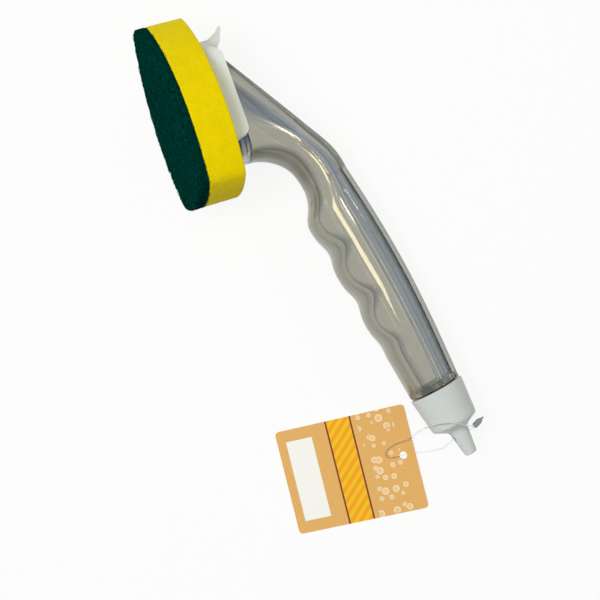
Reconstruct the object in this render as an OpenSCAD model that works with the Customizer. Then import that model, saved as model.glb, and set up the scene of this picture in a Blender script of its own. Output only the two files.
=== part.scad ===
// Dish wand: a hollow clear handle that holds washing-up liquid, a screw cap with a
// hanging tail, and a slide-on scouring head. A swing tag hangs from the tail by a loop.
// The wand is drawn upright with its scouring face at Z 0 and its toe towards -X,
// and then laid on its side, which is how it rests on a table.

/* [Scouring head] */
// Length of the foam and the pad, toe to heel
sponge_len = 90; // [84:1:98]
// Width of the foam and the pad at their widest
sponge_w = 60; // [56:1:66]
// Radius of each long curved side
side_r = 69; // [64:1:80]
// Distance from the heel to the widest place
widest_at = 36; // [32:1:42]
// Radius of the blunt heel
heel_r = 55; // [45:1:80]
// Radius that rounds the corners of the outline
corner_r = 5; // [2:0.5:7]
// Thickness of the abrasive pad
pad_t = 6; // [4:0.5:9]
// Thickness of the foam
foam_t = 18; // [14:0.5:24]

/* [Holder on the sponge] */
// Distance from the sponge's heel to the holder's heel
holder_inset = 21; // [18:0.5:24]
// Length of the holder without its thumb tab
holder_len = 53.5; // [52:0.5:56]
// Width across the holder's walls
holder_w = 40; // [38:0.5:43]
// Thickness of the base sheet on the foam
base_t = 2; // [1.5:0.1:3]
// Thickness of the side walls
holder_wall = 2; // [1.5:0.1:2.4]
// Thickness of the lips over the foot
lip_t = 2.5; // [1.8:0.1:3]
// How far the lips reach in over the foot
lip_reach = 2.7; // [2:0.1:3.2]
// Diameter of the soap hole in the base sheet
feed_d = 9; // [6:0.5:14]
// Radius of the holder's heel corners, seen from above
holder_heel_r = 3; // [2:0.5:5]
// Radius of the holder's toe corners, seen from above
holder_toe_r = 8; // [6:0.5:10]
// Half the width of the flat between the toe corners
holder_nose = 5; // [3:0.5:7]
// Distance that the toe stands forward of the full width
toe_step = 5; // [3:0.5:7]
// Radius of the holder's top edge at the heel
holder_top_r = 5; // [3:0.5:6]
// How far the walls drop at the toe
toe_drop = 3.5; // [2:0.5:4]
// Length over which the walls rise from the toe
toe_ramp = 11; // [8:0.5:14]
// Reach of the thumb tab beyond the holder's toe
tab_reach = 7; // [5:0.5:9]
// Width of the thumb tab at its root
tab_w = 15; // [10:0.5:18]
// Width of the thumb tab at its tip
tab_tip_w = 4.5; // [3:0.5:8]
// Height of the thumb tab's tip above the holder
tab_h = 8; // [6:0.5:10]

/* [Foot] */
// Height of the foot's sliding flange
flange_t = 4; // [3:0.1:6]
// Sliding clearance between the foot and the holder
slide_gap = 0.25; // [0.2:0.05:0.4]
// How far the foot's heel stands out of the holder
heel_out = 6.5; // [5:0.5:9]
// Thickness of the floor under the soap
floor_t = 2.2; // [1.6:0.1:3]
// Diameter of the soap outlet
outlet_d = 3.5; // [2:0.25:5]
// Distance from the holder's toe to the flange's toe
flange_in = 3; // [2.6:0.1:4]
// Length over which the flange widens from its toe
flange_taper = 13; // [10:0.5:16]
// Radius of the flange's heel corners
flange_r = 9; // [6:0.5:12]
// Gap between the holder's lips and the handle above them
deck_gap = 0.6; // [0.4:0.1:1]
// Clearance of the plinth in the slot between the lips
plinth_gap = 0.3; // [0.2:0.05:0.5]

/* [Neck] */
// Angle of the neck's straight back above the head
neck_angle = 34; // [31:0.5:37]
// Distance from the holder's toe to the toe of the neck
neck_toe = 6.2; // [5.4:0.1:7]
// Distance from the foot's heel to the throat's centre
throat_out = 24.1; // [23.5:0.1:26]
// Radius of the throat between the head and the grip
throat_r = 23.3; // [21:0.1:25]
// Distance from the throat's centre to the middle of the grip at the elbow
elbow_reach = 31; // [29:0.5:33]
// Height of the rail along the back of the neck
rail_h = 2.3; // [1.5:0.1:3]
// Half the width of the neck at the foot
neck_half_w = 14.5; // [13:0.1:14.8]
// Angle round the throat at which the back begins to bend into the elbow
back_bend = 145; // [140:1:150]
// Angle round the throat at which the finger side leaves the throat's arc
front_bend = 140; // [136:1:146]

/* [Grip] */
// Length of the grip from the elbow to the shoulder under the cap
grip_len = 112; // [104:1:122]
// Angle of the grip and cap above the head's plane
grip_tilt = 9.5; // [7:0.5:13]
// Half the width of the grip in the palm
grip_half_w = 14; // [13:0.1:15]
// Half the width of the handle at the elbow
elbow_half_w = 14; // [13:0.1:15]
// Half the width of the handle at the shoulder under the cap
shoulder_half_w = 13.1; // [12.6:0.1:13.6]
// Distance from the grip's axis to its back at the shoulder
back_d = 11.6; // [11.2:0.1:12.4]
// Extra height of the back in the palm
palm_h = 3.3; // [2:0.1:5]
// Place of the palm's fullest width, as a share of the grip
palm_at = 0.45; // [0.3:0.05:0.6]
// Distance from the grip's axis to the finger side at the shoulder
front_d = 13; // [12:0.1:13.4]
// Extra depth of the finger side at the elbow end
front_grow = 3.2; // [2:0.1:5]
// Distance from finger bulge to finger bulge
finger_pitch = 26.8; // [24:0.1:29]
// Depth of the finger grooves from bulge to dent
finger_h = 2.7; // [1:0.1:4]
// Number of finger bulges
fingers = 3; // [2:1:3]
// Distance of the first finger bulge from the elbow
bulge_at = 20; // [18:0.5:22]
// How far a bulge leans towards the elbow, in degrees of its wave
bulge_lean = 22; // [0:1:30]
// Length over which the grooves fade out after the last bulge
fade_len = 22; // [16:1:28]
// Distance from the grip's axis to the finger side at the elbow
throat_lift = 9.6; // [9:0.1:10.4]
// Length over which the finger side swells out after the elbow
swell_len = 19; // [16:1:22]
// Wall thickness at the sides
wall = 2.3; // [1.8:0.1:2.8]
// Wall thickness on the finger side
finger_wall = 3.2; // [2.4:0.1:4]

/* [Back cover] */
// Width of the back cover
cover_w = 14; // [12:0.5:16]
// Height of the cover above the edges that it is welded to
cover_rise = 3.2; // [2:0.1:3.6]
// Width of the rounding along each top edge of the cover
cover_edge = 1.3; // [0.8:0.1:2]
// Drop of that rounding at the cover's side
cover_drop = 1.1; // [0.6:0.1:1.6]
// Weld gap round the cover
weld_gap = 0.05; // [0.04:0.01:0.1]

/* [Neck finish] */
// Thickness of the shoulder under the cap
shoulder_t = 2.6; // [2:0.1:3.5]
// Outer radius of the screwed neck, without its thread
finish_r = 9.4; // [9:0.1:9.6]
// Radius of the filling bore
bore_r = 7.4; // [6.6:0.1:7.6]
// Length of the screwed neck
finish_len = 14.6; // [13:0.2:15]

/* [Cap] */
// Outer radius of the cap's rim
cap_rim_r = 13.6; // [13.2:0.1:14.2]
// Outer radius of the cap's closed end
cap_end_r = 11.6; // [11.4:0.1:12.6]
// Height of the cap's skirt
cap_h = 19; // [18.4:0.2:22]
// Inner radius of the cap, which leaves room for the thread
cap_bore_r = 10.4; // [10.2:0.1:10.6]
// Gap between the shoulder and the cap's rim
rim_gap = 0.6; // [0.4:0.1:1]
// Number of fine grip ribs round the cap
cap_ribs = 60; // [36:4:72]
// Depth of the grip ribs
rib_depth = 0.25; // [0.15:0.05:0.4]
// Height of the cone on the closed end
cone_h = 2.6; // [2:0.1:4]
// Radius of the tail at its root
tail_root_r = 4.6; // [4:0.1:5.4]
// Radius of the tail at its tip
tail_tip_r = 3.2; // [2.8:0.1:3.8]
// Length of the tail
tail_len = 13.8; // [12:0.2:17]
// Diameter of the hanging hole through the tail
hang_d = 3; // [2.4:0.1:3.4]
// Distance of the hanging hole from the tail's root
hang_at = 3.6; // [3:0.1:5]
// Radius of the rounding at the tail's tip
tail_round = 1; // [0.5:0.1:1.4]
// Width of the hollow rounding between the cone and the tail
tail_fillet = 1.6; // [1:0.1:2.4]

/* [Sealing ring] */
// Thickness of the sealing ring in the cap
seal_t = 1.5; // [1:0.1:1.8]
// Outer radius of the sealing ring
seal_r = 10.1; // [9.8:0.1:10.3]
// Radius of the hole in the sealing ring
seal_hole_r = 6.6; // [6:0.1:7]
// Gap on each face of the sealing ring
face_gap = 0.05; // [0.04:0.01:0.1]

/* [Swing tag] */
// Length of the tag
tag_len = 67; // [60:1:72]
// Width of the tag
tag_w = 53; // [48:1:58]
// Thickness of the card
tag_t = 0.4; // [0.3:0.1:0.4]
// Diameter of the tag's hole
tag_hole_d = 3.8; // [3.4:0.1:4.4]
// Radius of the tag's corners
tag_corner = 2; // [1:0.5:4]
// Distance of the hole from the tag's edge
hole_from_edge = 6.2; // [5:0.1:8]
// Diameter of the nylon loop
loop_d = 0.8; // [0.6:0.1:1]
// Length of the lock that joins the loop
lock_len = 6.4; // [5:0.2:8]
// Radius of the lock's barrel
lock_r = 1.4; // [1.1:0.1:1.8]

/* [Hidden] */
$fn = 64;

// Heights of the layers, from the scouring face up
base_z = pad_t + foam_t;
pan_z = base_z + base_t;
flange_z = pan_z + slide_gap;
flange_top = flange_z + flange_t;
lip_z = flange_top + slide_gap;
holder_top = lip_z + lip_t;
deck_z = holder_top + deck_gap;

// Places along the head, from the middle of the sponge
sponge_heel = sponge_len / 2;
widest_x = sponge_heel - widest_at;
holder_heel = sponge_heel - holder_inset;
holder_toe = holder_heel - holder_len;
foot_heel = holder_heel + heel_out;
holder_half = holder_w / 2;
channel_half = holder_half - holder_wall;
slot_half = channel_half - lip_reach;
flange_half = channel_half - slide_gap;
plinth_half = min(neck_half_w, slot_half - plinth_gap);

function mix(a, b, t) = a + (b - a) * t;
function clamp01(t) = max(0, min(1, t));
function smooth(t) = let(c = clamp01(t)) c * c * (3 - 2 * c);
// Points on an arc in the XY plane
function arc(c, r, a0, a1, n) = [for (i = [0 : n]) let(a = mix(a0, a1, i / n)) c + r * [cos(a), sin(a)]];

// Outline of the sponge: two long arcs, a blunt heel arc and a round toe
side_drop = side_r - sponge_w / 2;
toe_x = -sponge_len / 2;

module sponge_outline() {
  offset(r = corner_r, $fn = 40) offset(delta = -corner_r)
    intersection() {
      translate([widest_x, side_drop]) circle(r = side_r, $fn = 180);
      translate([widest_x, -side_drop]) circle(r = side_r, $fn = 180);
      translate([sponge_heel - heel_r, 0]) circle(r = heel_r, $fn = 140);
      translate([toe_x + side_r, 0]) circle(r = side_r, $fn = 180);
    }
}

module scour_pad() {
  color("darkgreen") place() linear_extrude(pad_t) sponge_outline();
}

module foam_block() {
  color("gold") place() translate([0, 0, pad_t]) linear_extrude(foam_t) sponge_outline();
}

// Outline of the holder, round at the toe and square at the heel
module holder_outline() {
  hull() for (s = [-1, 1]) {
    translate([holder_heel - holder_heel_r, s * (holder_half - holder_heel_r)])
      circle(r = holder_heel_r, $fn = 24);
    translate([holder_toe + toe_step + holder_toe_r, s * (holder_half - holder_toe_r)])
      circle(r = holder_toe_r, $fn = 40);
    translate([holder_toe + holder_toe_r, s * holder_nose])
      circle(r = holder_toe_r, $fn = 40);
  }
}

// Side view of the holder: low at the toe corner, sloped and rounded at the heel
module holder_side() {
  past = 1;
  draft = 1;
  polygon(concat(
    [[holder_toe - past, base_z], [holder_heel + past, base_z]],
    arc([holder_heel - draft - holder_top_r, holder_top - holder_top_r], holder_top_r, 0, 90, 6),
    [[holder_toe + toe_ramp, holder_top], [holder_toe + toe_step, holder_top - toe_drop],
     [holder_toe - past, holder_top - toe_drop]]
  ));
}

// Thumb tab: a curved beak that leans out over the toe
module thumb_tab() {
  root = holder_toe + 0.2;
  tip = [holder_toe - tab_reach, holder_top + tab_h];
  back = root + toe_step;
  low = base_z + base_t;
  // Side view, from inside the holder up the back, round the tip and down the front
  side_view = [
    [back, low], [back, holder_top + 0.19 * tab_h], [root + 2, holder_top + 0.5 * tab_h],
    [root - 2, holder_top + 0.72 * tab_h], tip + [0.7, 0.4], tip + [0, 0.2], tip - [0.1, 0.8],
    [root - 0.6 * tab_reach, holder_top + 0.52 * tab_h],
    [root - 0.29 * tab_reach, holder_top + 0.15 * tab_h],
    [root - 0.06 * tab_reach, holder_top - 0.2 * tab_h], [root, low]
  ];
  // Half of the view from above, from the wide root to the narrow tip
  half_view = [
    [back + 1, tab_w / 2], [root, tab_w / 2], [root - 0.43 * tab_reach, 0.32 * tab_w],
    [tip[0] + 1.2, tab_tip_w / 2], [tip[0] - 1, 0.3 * tab_tip_w]
  ];
  intersection() {
    rotate([90, 0, 0]) linear_extrude(tab_w, center = true) polygon(side_view);
    linear_extrude(tip[1] + 2) polygon(concat(
      half_view, [for (i = [len(half_view) - 1 : -1 : 0]) [half_view[i][0], -half_view[i][1]]]));
  }
}

// Outline of the foot's flange, grown by g, and run on towards the heel by run
module flange_outline(g = 0, run = 0) {
  toe = holder_toe + flange_in - g;
  half = flange_half + g;
  nose = 0.62 * half;
  corner_x = foot_heel - flange_r + run;
  polygon(concat(
    [[toe, -nose], [toe + flange_taper, -half]],
    arc([corner_x, flange_r - half], flange_r, -90, 0, 8),
    arc([corner_x, half - flange_r], flange_r, 0, 90, 8),
    [[toe + flange_taper, half], [toe, nose]]
  ));
}

module head_holder() {
  color("white") place() difference() {
    union() {
      intersection() {
        translate([0, 0, base_z]) linear_extrude(holder_top - base_z) holder_outline();
        rotate([90, 0, 0]) linear_extrude(holder_w + 2, center = true) holder_side();
      }
      thumb_tab();
    }
    // Channel for the flange, open at the heel
    translate([0, 0, pan_z]) linear_extrude(lip_z - pan_z) flange_outline(slide_gap, holder_inset);
    // Slot between the lips for the foot's plinth
    translate([holder_toe + neck_toe - slot_toe_gap, -slot_half, lip_z - 1])
      cube([holder_len, 2 * slot_half, lip_t + tab_h + 2]);
    translate([0, 0, base_z - 1]) cylinder(d = feed_d, h = base_t + 2);
  }
}

// Gap at the toe between the plinth and the end of its slot
slot_toe_gap = 0.8;

// Directions along the grip and square to it, in the XZ plane
grip_dir = [cos(grip_tilt), sin(grip_tilt)];
grip_up = [-sin(grip_tilt), cos(grip_tilt)];
// Centre of the throat, level with the handle's deck behind the foot
throat_c = [foot_heel + throat_out, deck_z];
elbow_c = throat_c + elbow_reach * grip_up;

// Back and finger side of the grip, as distances from its axis at t along it.
// The back's arch runs on a little past the elbow.
arch_len = 1.06 * grip_len;
function back_at(t) = back_d + palm_h * sin(180 * clamp01((grip_len - t) / arch_len));
// Half width of the grip, fullest in the palm
function half_w_at(t) =
  let(palm = palm_at * grip_len)
  t < palm ? mix(elbow_half_w, grip_half_w, smooth(t / palm))
           : mix(grip_half_w, shoulder_half_w, smooth((t - palm) / (grip_len - palm)));
// A bulge comes up steeply on its elbow side and falls away slowly
function finger_wave(t) =
  let(q = (t - bulge_at) / finger_pitch * 360)
  cos(q - bulge_lean * sin(q));
last_bulge = bulge_at + (fingers - 1) * finger_pitch;
function front_at(t) =
  let(mean = front_d + front_grow * (1 - t / grip_len))
  let(fade = 1 - smooth((t - last_bulge) / fade_len))
  let(elbow = 1 - smooth(t / swell_len))
  mix(mean + finger_h / 2 * finger_wave(t) * fade, throat_lift, elbow);

// Back and throat of the neck, as distances from the throat's centre at angle a.
// The back starts as a straight line and bends into the grip's back.
line_d = (throat_c[0] - holder_toe - neck_toe) * sin(neck_angle);
end_a = 90 + grip_tilt;
function neck_back(a) =
  let(bend = smooth((back_bend - a) / (back_bend - end_a)))
  mix(line_d / cos(a - 90 - neck_angle), elbow_reach + back_at(0), bend);
function neck_front(a) =
  let(bend = smooth((front_bend - a) / (front_bend - end_a)))
  mix(throat_r, elbow_reach - front_at(0), bend);

neck_rings = 17;
grip_rings = 40;
// Exponent of a section's sides: lower is fuller
neck_power = 0.62;
grip_power = 0.86;
// Each ring is its centre, its up direction, back, front, half width, rail height and roundness
function ring_of(i) =
  i < neck_rings
  ? let(k = i / neck_rings, a = mix(180, end_a, k))
    [throat_c, [cos(a), sin(a)], neck_back(a), neck_front(a),
     mix(plinth_half, elbow_half_w, smooth(k)), mix(rail_h, cover_rise, k),
     mix(neck_power, grip_power, k)]
  : let(t = grip_len * (i - neck_rings) / grip_rings)
    [elbow_c + t * grip_dir, grip_up, back_at(t), -front_at(t),
     half_w_at(t), cover_rise, grip_power];

arc_steps = 8;
// Share of a section's depth that its flat upper facet takes
facet_share = 0.32;
// Share of the wall by which the facet's lower edge moves in
knee_share = 0.4;
// Right half of a section from the edge under the rail down to the middle of the finger side.
// The wall moves every point in by in, and the finger side by deep.
function half_section(r, in, deep) =
  let(lip = r[2] - r[5])
  let(knee = lip - facet_share * (r[2] - r[3]) - knee_share * in)
  let(b = r[4] - in)
  let(bottom = r[3] + deep)
  concat(
    [[cover_w / 2, lip - in]],
    [for (j = [0 : arc_steps])
      let(q = 90 * j / arc_steps)
      [b * pow(cos(q), r[6]), mix(knee, bottom, pow(sin(q), r[6]))]]
  );
function mirrored(half) = concat(half, [for (i = [len(half) - 2 : -1 : 0]) [-half[i][0], half[i][1]]]);
function to_3d(r, p) = [r[0][0] + p[1] * r[1][0], p[0], r[0][1] + p[1] * r[1][1]];
// Points over the rail of the neck, from the left edge to the right one, flat inside
rail_edge = 0.8;
rail_crown = 0.5;
function rail_points(r, in) =
  let(half = in > 0 ? cover_w / 4 : cover_w / 2 - rail_edge)
  let(side = in > 0 ? r[2] - r[5] - in : r[2] - rail_crown)
  let(top = in > 0 ? side : r[2])
  [[-half, side], [0, top], [half, side]];

// The body is one skin outside and one inside. The neck's rings close over the rail,
// and the grip's stay open along the back, where the cover goes.
module handle_skin() {
  rings = neck_rings + grip_rings + 1;
  side_n = 2 * (arc_steps + 2) - 1;
  rail_n = 3;
  ring_n = 2 * side_n + 2 * rail_n;
  last = rings - 1;
  pts = [for (i = [0 : last])
    let(r = ring_of(i))
    each concat(
      [for (p = mirrored(half_section(r, 0, 0))) to_3d(r, p)],
      [for (p = mirrored(half_section(r, wall, finger_wall))) to_3d(r, p)],
      [for (p = rail_points(r, 0)) to_3d(r, p)],
      [for (p = rail_points(r, wall)) to_3d(r, p)]
    )];
  function o(i, j) = i * ring_n + j;
  function n(i, j) = i * ring_n + side_n + j;
  // Outer and inner loops over the rail, ends included
  function ro(i, k) = k == 0 ? o(i, side_n - 1) : k == rail_n + 1 ? o(i, 0) : i * ring_n + 2 * side_n + k - 1;
  function rn(i, k) =
    k == 0 ? n(i, side_n - 1) : k == rail_n + 1 ? n(i, 0) : i * ring_n + 2 * side_n + rail_n + k - 1;
  function quad(a, b, c, d) = [[a, b, c], [a, c, d]];
  faces = concat(
    [for (i = [0 : last - 1], j = [0 : side_n - 2])
      each quad(o(i, j), o(i, j + 1), o(i + 1, j + 1), o(i + 1, j))],
    [for (i = [0 : last - 1], j = [0 : side_n - 2])
      each quad(n(i, j + 1), n(i, j), n(i + 1, j), n(i + 1, j + 1))],
    [for (i = [0 : neck_rings - 1], k = [0 : rail_n])
      each quad(ro(i, k), ro(i, k + 1), ro(i + 1, k + 1), ro(i + 1, k))],
    [for (i = [0 : neck_rings - 1], k = [0 : rail_n])
      each quad(rn(i, k + 1), rn(i, k), rn(i + 1, k), rn(i + 1, k + 1))],
    // Edges that the cover is welded to
    [for (i = [neck_rings : last - 1])
      each concat(
        quad(o(i, 0), o(i + 1, 0), n(i + 1, 0), n(i, 0)),
        quad(o(i + 1, side_n - 1), o(i, side_n - 1), n(i, side_n - 1), n(i + 1, side_n - 1)))],
    // End of the neck's rail at the elbow
    [for (k = [0 : rail_n])
      each quad(ro(neck_rings, k), ro(neck_rings, k + 1), rn(neck_rings, k + 1), rn(neck_rings, k))],
    // End on the foot
    [for (j = [0 : side_n - 2]) each quad(o(0, j + 1), o(0, j), n(0, j), n(0, j + 1))],
    [for (k = [0 : rail_n]) each quad(ro(0, k + 1), ro(0, k), rn(0, k), rn(0, k + 1))],
    // End at the shoulder
    [for (j = [0 : side_n - 2]) each quad(o(last, j), o(last, j + 1), n(last, j + 1), n(last, j))]
  );
  polyhedron(points = pts, faces = faces, convexity = 12);
}

// Frame on the grip's axis, Z along it and Y to the wand's side, at distance t from the elbow
module on_grip(t) {
  c = elbow_c + t * grip_dir;
  translate([c[0], 0, c[1]]) rotate([0, 90 - grip_tilt, 0]) children();
}

// Full outline of the handle at the shoulder, as seen along the grip, drawn in by a fine step
shoulder_step = 0.2;
shoulder_lap = 1;
function shoulder_outline() =
  let(r = ring_of(neck_rings + grip_rings))
  let(side = mirrored(half_section(r, shoulder_step, shoulder_step)))
  let(top = r[2] - shoulder_step, out = cover_w / 2 - 2 * shoulder_step, in = out - cover_edge)
  let(low = top - cover_drop / 2)
  [for (p = concat(side, [[-out, low], [-in, top], [in, top], [out, low]])) [-p[1], p[0]]];

module handle_body() {
  color("lightgrey", 0.6) place() {
    handle_skin();
    on_grip(grip_len) difference() {
      union() {
        translate([0, 0, -shoulder_lap]) linear_extrude(shoulder_t + shoulder_lap)
          polygon(shoulder_outline());
        cylinder(r = finish_r, h = shoulder_t + finish_len);
      }
      translate([0, 0, -shoulder_lap - 1])
        cylinder(r = bore_r, h = shoulder_lap + shoulder_t + finish_len + 2);
    }
  }
}

// Cover along the grip's open back, a strip with a rounded top
module back_cover() {
  half = cover_w / 2 - weld_gap;
  in = half - cover_edge;
  run = grip_len - shoulder_lap - 2 * weld_gap;
  n = 6;
  pts = [for (i = [0 : grip_rings])
    let(t = weld_gap + run * i / grip_rings)
    let(r = [elbow_c + t * grip_dir, grip_up])
    let(top = back_at(t) - shoulder_step, side = back_at(t) - cover_drop)
    let(under = back_at(t) - cover_rise - wall)
    each [for (p = [[half, under], [half, side], [in, top], [-in, top], [-half, side], [-half, under]])
      to_3d(r, p)]];
  faces = concat(
    [for (i = [0 : grip_rings - 1], j = [0 : n - 1])
      let(k = (j + 1) % n)
      each [[i * n + j, i * n + n + j, i * n + n + k], [i * n + j, i * n + n + k, i * n + k]]],
    [for (j = [1 : n - 2]) [0, j, j + 1]],
    [for (j = [1 : n - 2]) let(e = grip_rings * n) [e, e + j + 1, e + j]]
  );
  color("silver", 0.6) place() polyhedron(points = pts, faces = faces, convexity = 4);
}

// Foot: sliding flange, plinth under the neck, soap pan and outlet
module foot() {
  r = ring_of(0);
  function on_deck(in, deep) =
    [for (p = concat(mirrored(half_section(r, in, deep)), rail_points(r, in))) [throat_c[0] - p[1], p[0]]];
  color("lightsteelblue", 0.7) place() difference() {
    union() {
      translate([0, 0, flange_z]) linear_extrude(flange_t) flange_outline();
      translate([0, 0, flange_z]) linear_extrude(deck_z - flange_z) polygon(on_deck(0, 0));
    }
    translate([0, 0, flange_z + floor_t]) linear_extrude(deck_z) polygon(on_deck(wall, finger_wall));
    translate([0, 0, flange_z - 1]) cylinder(d = outlet_d, h = floor_t + 2);
  }
}

// Places along the cap, from the top of the shoulder
cap_inner_h = finish_len + seal_t + 2 * face_gap;
tail_z = rim_gap + cap_h + cone_h;
hang_z = tail_z + hang_at;

module cap_skirt() {
  n = 2 * cap_ribs;
  outline = [for (i = [0 : n - 1])
    let(r = cap_rim_r - (i % 2) * rib_depth)
    r * [cos(360 * i / n), sin(360 * i / n)]];
  linear_extrude(cap_h, scale = cap_end_r / cap_rim_r) polygon(outline);
}

// End of the cap: a low cone, a hollow rounding and the tapered tail
module cap_tail() {
  end_z = rim_gap + cap_h;
  lap = 0.5;
  foot_r = cap_end_r - rib_depth - 0.1;
  rotate_extrude() polygon(concat(
    [[0, end_z - lap], [foot_r, end_z - lap], [foot_r, end_z],
     [tail_root_r + tail_fillet, tail_z - tail_fillet / 4],
     [tail_root_r + tail_fillet / 4, tail_z + tail_fillet / 3],
     [tail_root_r - 0.1, tail_z + 1.25 * tail_fillet]],
    arc([tail_tip_r - tail_round, tail_z + tail_len - tail_round], tail_round, 0, 90, 5),
    [[0, tail_z + tail_len]]
  ));
}

module cap() {
  color("white") place() on_grip(grip_len + shoulder_t) difference() {
    union() {
      translate([0, 0, rim_gap]) cap_skirt();
      cap_tail();
    }
    translate([0, 0, -1]) cylinder(r = cap_bore_r, h = cap_inner_h + 1);
    translate([0, 0, hang_z]) rotate([0, 90, 0])
      cylinder(d = hang_d, h = 4 * tail_root_r, center = true, $fn = 32);
  }
}

module cap_seal() {
  color("dimgrey") place() on_grip(grip_len + shoulder_t) translate([0, 0, finish_len + face_gap])
    difference() {
      cylinder(r = seal_r, h = seal_t);
      translate([0, 0, -1]) cylinder(r = seal_hole_r, h = seal_t + 2);
    }
}

// The wand lies on the foam's edge, the elbow and the palm
lay_roll = -24.8;
lay_pitch = -4.2;
lay_shift = [-77.78, -38.62, 36.8];
module place() {
  translate(lay_shift) rotate([0, lay_pitch, 0]) rotate([lay_roll - 90, 0, 0]) children();
}

// The tag lies beside the wand, its hole end lifted by the loop that runs under it
tag_pos = [113.4, -18.1, 0];
tag_turn = -6.2;
tag_rise = 1.1;
hole_off_middle = -1.5;

module hang_tag() {
  color("tan") translate(tag_pos) rotate([0, 0, tag_turn])
    translate([0, -tag_len / 2, 0]) rotate([asin(tag_rise / tag_len), 0, 0])
    linear_extrude(tag_t) difference() {
      hull() for (x = [-1, 1], y = [0, 1])
        translate([x * (tag_w / 2 - tag_corner), mix(tag_corner, tag_len - tag_corner, y)])
          circle(r = tag_corner, $fn = 24);
      translate([hole_off_middle, tag_len - hole_from_edge]) circle(d = tag_hole_d, $fn = 32);
    }
}

// Route of the loop: from its lock over the cap's end to the tag, through the tag's hole,
// back under the card, up and through the tail, and into the lock again
loop_route = [
  [109.7, 48.3, 17.8], [109.2, 46.8, 20.4], [107.4, 45.2, 24.2], [105.4, 42.2, 26.5],
  [103.8, 38.4, 27], [102.9, 34.2, 26], [102.9, 29.6, 23], [103.4, 26.2, 17.2],
  [104.4, 23.8, 10.6], [105.6, 20.8, 5], [107, 17.6, 2.5], [108.3, 14, 2], [108.2, 9, 1.9],
  [108.8, 4.6, 1.85], [110.4, 1.8, 1.8], [112.6, 1.2, 1.8], [114.1, 3.2, 1.9], [114.6, 6.7, 2],
  [114.8, 9.2, 1.25], [115, 11.3, 0.54], [115.4, 13.6, 0.48], [116.1, 16.8, 0.58],
  [116.9, 22.6, 2.6], [116.8, 26.6, 6], [116.2, 30, 10.6], [114.6, 33.2, 15],
  [113, 36.6, 16.4], [112.3, 40.7, 14.4], [111.7, 44.8, 12.5], [111.5, 47.6, 12.4],
  [111, 49.2, 14.2], [109.9, 48.9, 16.5]
];
loop_sides = 8;
loop_subs = 2;

function unit(v) = v / norm(v);
// Point on the smooth curve through the route, q steps past point i
function curve_at(p, i, q) =
  let(n = len(p) - 1)
  let(a = p[max(i - 1, 0)], b = p[i], c = p[min(i + 1, n)], d = p[min(i + 2, n)])
  0.5 * (2 * b + (c - a) * q + (2 * a - 5 * b + 4 * c - d) * q * q + (3 * b - a - 3 * c + d) * q * q * q);
// Turns vector n so that it stays square to the next direction t
function carry(n, t) = unit(n - (n * t) * t);

module tube(route, d, sides, subs) {
  n = len(route) - 1;
  path = [for (i = [0 : n - 1], k = [0 : subs - 1]) curve_at(route, i, k / subs), route[n]];
  m = len(path) - 1;
  dirs = [for (i = [0 : m]) unit(path[min(i + 1, m)] - path[max(i - 1, 0)])];
  first = carry([0.3, -0.2, 1], dirs[0]);
  norms = [for (i = 0, v = first; i <= m; i = i + 1, v = carry(v, dirs[min(i, m)])) v];
  pts = [for (i = [0 : m], j = [0 : sides - 1])
    let(a = 360 * j / sides)
    path[i] + d / 2 * (cos(a) * norms[i] + sin(a) * cross(dirs[i], norms[i]))];
  faces = concat(
    [for (i = [0 : m - 1], j = [0 : sides - 1])
      let(k = (j + 1) % sides, a = i * sides)
      each [[a + j, a + sides + j, a + sides + k], [a + j, a + sides + k, a + k]]],
    [for (j = [1 : sides - 2]) [0, j, j + 1]],
    [for (j = [1 : sides - 2]) [m * sides, m * sides + j + 1, m * sides + j]]
  );
  polyhedron(points = pts, faces = faces, convexity = 10);
}

module tag_loop() {
  color("whitesmoke", 0.8) tube(loop_route, loop_d, loop_sides, loop_subs);
}

// Barrel that both ends of the loop are pressed into, with a short nib
lock_from = [110.1, 48.1, 17.2];
lock_turn = [0, 87, 117.5];
// Profile of the lock as shares of its radius and its length
lock_profile = [[0, 0], [0.75, 0], [1, 0.12], [1, 0.5], [0.7, 0.72], [0.35, 0.82], [0.3, 1], [0, 1]];

module loop_lock() {
  color("whitesmoke", 0.9) translate(lock_from) rotate(lock_turn) rotate_extrude($fn = 24)
    polygon([for (p = lock_profile) [p[0] * lock_r, p[1] * lock_len]]);
}

scour_pad();
foam_block();
head_holder();
foot();
handle_body();
back_cover();
cap();
cap_seal();
hang_tag();
tag_loop();
loop_lock();
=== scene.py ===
import bmesh
import bpy
import numpy as np
from mathutils import Matrix, Vector


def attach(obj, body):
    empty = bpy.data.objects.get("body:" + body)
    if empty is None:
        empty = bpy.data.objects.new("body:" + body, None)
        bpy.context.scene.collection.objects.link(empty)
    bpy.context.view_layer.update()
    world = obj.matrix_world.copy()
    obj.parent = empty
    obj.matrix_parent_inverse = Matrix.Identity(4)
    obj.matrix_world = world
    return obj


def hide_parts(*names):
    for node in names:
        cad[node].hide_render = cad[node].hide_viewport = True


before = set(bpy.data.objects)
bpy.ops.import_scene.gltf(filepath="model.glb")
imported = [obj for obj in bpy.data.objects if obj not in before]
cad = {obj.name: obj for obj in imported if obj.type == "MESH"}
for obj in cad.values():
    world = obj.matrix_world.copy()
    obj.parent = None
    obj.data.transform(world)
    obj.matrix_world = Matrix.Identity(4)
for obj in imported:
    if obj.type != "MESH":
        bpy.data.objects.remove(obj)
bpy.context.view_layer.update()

mm = 0.001


# Placing: shapes are worked out upright in millimetres, as the part's source draws them
lay = {"roll": -24.8, "pitch": -4.2, "shift": (-77.78, -38.62, 36.8)}


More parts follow.
